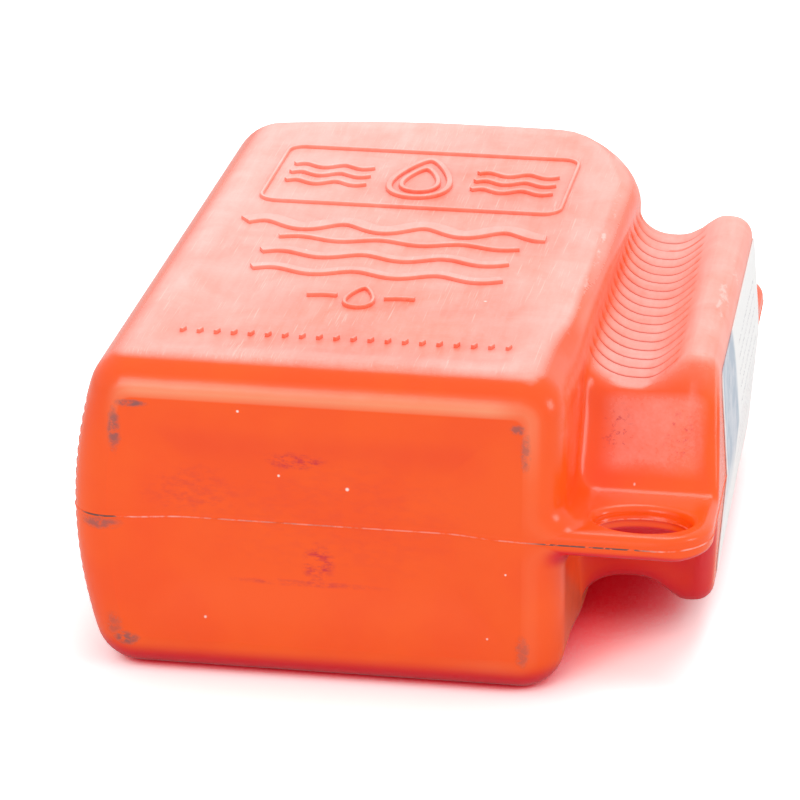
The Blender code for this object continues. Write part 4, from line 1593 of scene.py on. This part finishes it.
def floor_finish():
    """White paper: brighter to the camera than the light it bounces, with a painted red shade close to
    the bottle.
    """
    made = Finish("white_studio_paper")

    def diffuse(colour):
        return made.node("ShaderNodeBsdfDiffuse", None, {"Color": colour})

    seen = made.node("ShaderNodeLightPath", None, None, "Is Camera Ray")
    tint = made.noise(0.2, 2.0) * 0.02
    bounced = diffuse(made.mix(tint, rgb(0.8, 0.8, 0.8), rgb(0.77, 0.77, 0.77)))
    # Painted shade: the paper turns crimson where the bottle hides the sky, in both the plain and the
    # camera-only part.
    open_sky = made.node(
        "ShaderNodeAmbientOcclusion", {"samples": 16}, {"Distance": RED_SHADE_REACH * MM}, "AO")
    paper = made.mix(open_sky.steps(0.04, 0.36), rgb(0.95, 0.015, 0.05), rgb(1.0, 1.0, 1.0))
    extra = diffuse(made.mix(0.38, paper, rgb(0.0, 0.0, 0.0)))
    shown = made.node("ShaderNodeAddShader", None, {0: diffuse(paper), 1: extra})
    mixed = made.node("ShaderNodeMixShader", None, {0: seen, 1: bounced, 2: shown})
    made.tree.nodes.remove(made.shader)
    made.connect(mixed, made.tree.nodes["Material Output"].inputs["Surface"])
    return made.material


def white_surroundings(scene):
    """A pale surround that the camera and gloss see as white."""
    surround = bpy.data.worlds.new("white surround")
    scene.world = surround
    surround.use_nodes = True
    graph = Graph(surround.node_tree)
    rays = [
        graph.node("ShaderNodeLightPath", None, None, f"Is {kind} Ray")
        for kind in ("Camera", "Glossy", "Transmission")]
    seen = rays[0].larger(rays[1]).larger(rays[2])
    background = surround.node_tree.nodes["Background"]
    background.inputs["Color"].default_value = rgb(1.0, 1.0, 1.0)
    graph.connect(0.7 + seen * 0.3, background.inputs["Strength"])


def soft_light(name, place, target, size, power):
    """A square lamp at a place in metres that looks at another."""
    lamp = bpy.data.lights.new(name, "AREA")
    lamp.shape = "SQUARE"
    lamp.size = size
    lamp.energy = power
    made = link(bpy.data.objects.new(name, lamp))
    made.location = place
    made.rotation_euler = (Vector(place) - Vector(target)).to_track_quat("Z", "Y").to_euler()


def place_camera(scene):
    """The camera of the photo, fitted to the tank's corners and the grip's outline."""
    camera = bpy.data.cameras.new("camera")
    camera.lens = CAMERA_LENS
    camera.sensor_width = 36.0
    camera.clip_start = 0.05
    made = link(bpy.data.objects.new("camera", camera))
    made.location = world(*CAMERA_PLACE)
    made.rotation_euler = (math.radians(90.0 - CAMERA_DOWN), 0.0, math.radians(CAMERA_TURN))
    scene.camera = made


class OILBOTTLE_PT_parts(bpy.types.Panel):
    """Sidebar panel with the sizes, the colours and one button for each piece"""

    bl_idname = "OILBOTTLE_PT_parts"
    bl_label = "Oil bottle"
    bl_space_type = "VIEW_3D"
    bl_region_type = "UI"
    bl_category = "Oil bottle"

    def draw(self, context):
        for group in (context.scene.oil_bottle_sizes, context.scene.oil_bottle_colours):
            for key in group.__annotations__:
                self.layout.prop(group, key)
        for operator in OPERATORS:
            self.layout.operator(operator.bl_idname)


OPERATORS = (
    OILBOTTLE_OT_shell,
    OILBOTTLE_OT_parting,
    OILBOTTLE_OT_panel,
    OILBOTTLE_OT_neck,
    OILBOTTLE_OT_closure,
    OILBOTTLE_OT_label,
    OILBOTTLE_OT_studio,
)
CLASSES = (BottleSizes, BottleColours) + OPERATORS + (OILBOTTLE_PT_parts,)


def register():
    for kind in CLASSES:
        bpy.utils.register_class(kind)
    bpy.types.Scene.oil_bottle_sizes = bpy.props.PointerProperty(type=BottleSizes)
    bpy.types.Scene.oil_bottle_colours = bpy.props.PointerProperty(type=BottleColours)


def unregister():
    del bpy.types.Scene.oil_bottle_colours
    del bpy.types.Scene.oil_bottle_sizes
    for kind in reversed(CLASSES):
        bpy.utils.unregister_class(kind)


def main():
    register()
    bpy.ops.oil_bottle.shell()
    bpy.ops.oil_bottle.parting()
    bpy.ops.oil_bottle.panel()
    bpy.ops.oil_bottle.neck()
    bpy.ops.oil_bottle.closure()
    bpy.ops.oil_bottle.label()
    bpy.ops.oil_bottle.studio()


if __name__ == "__main__":
    main()
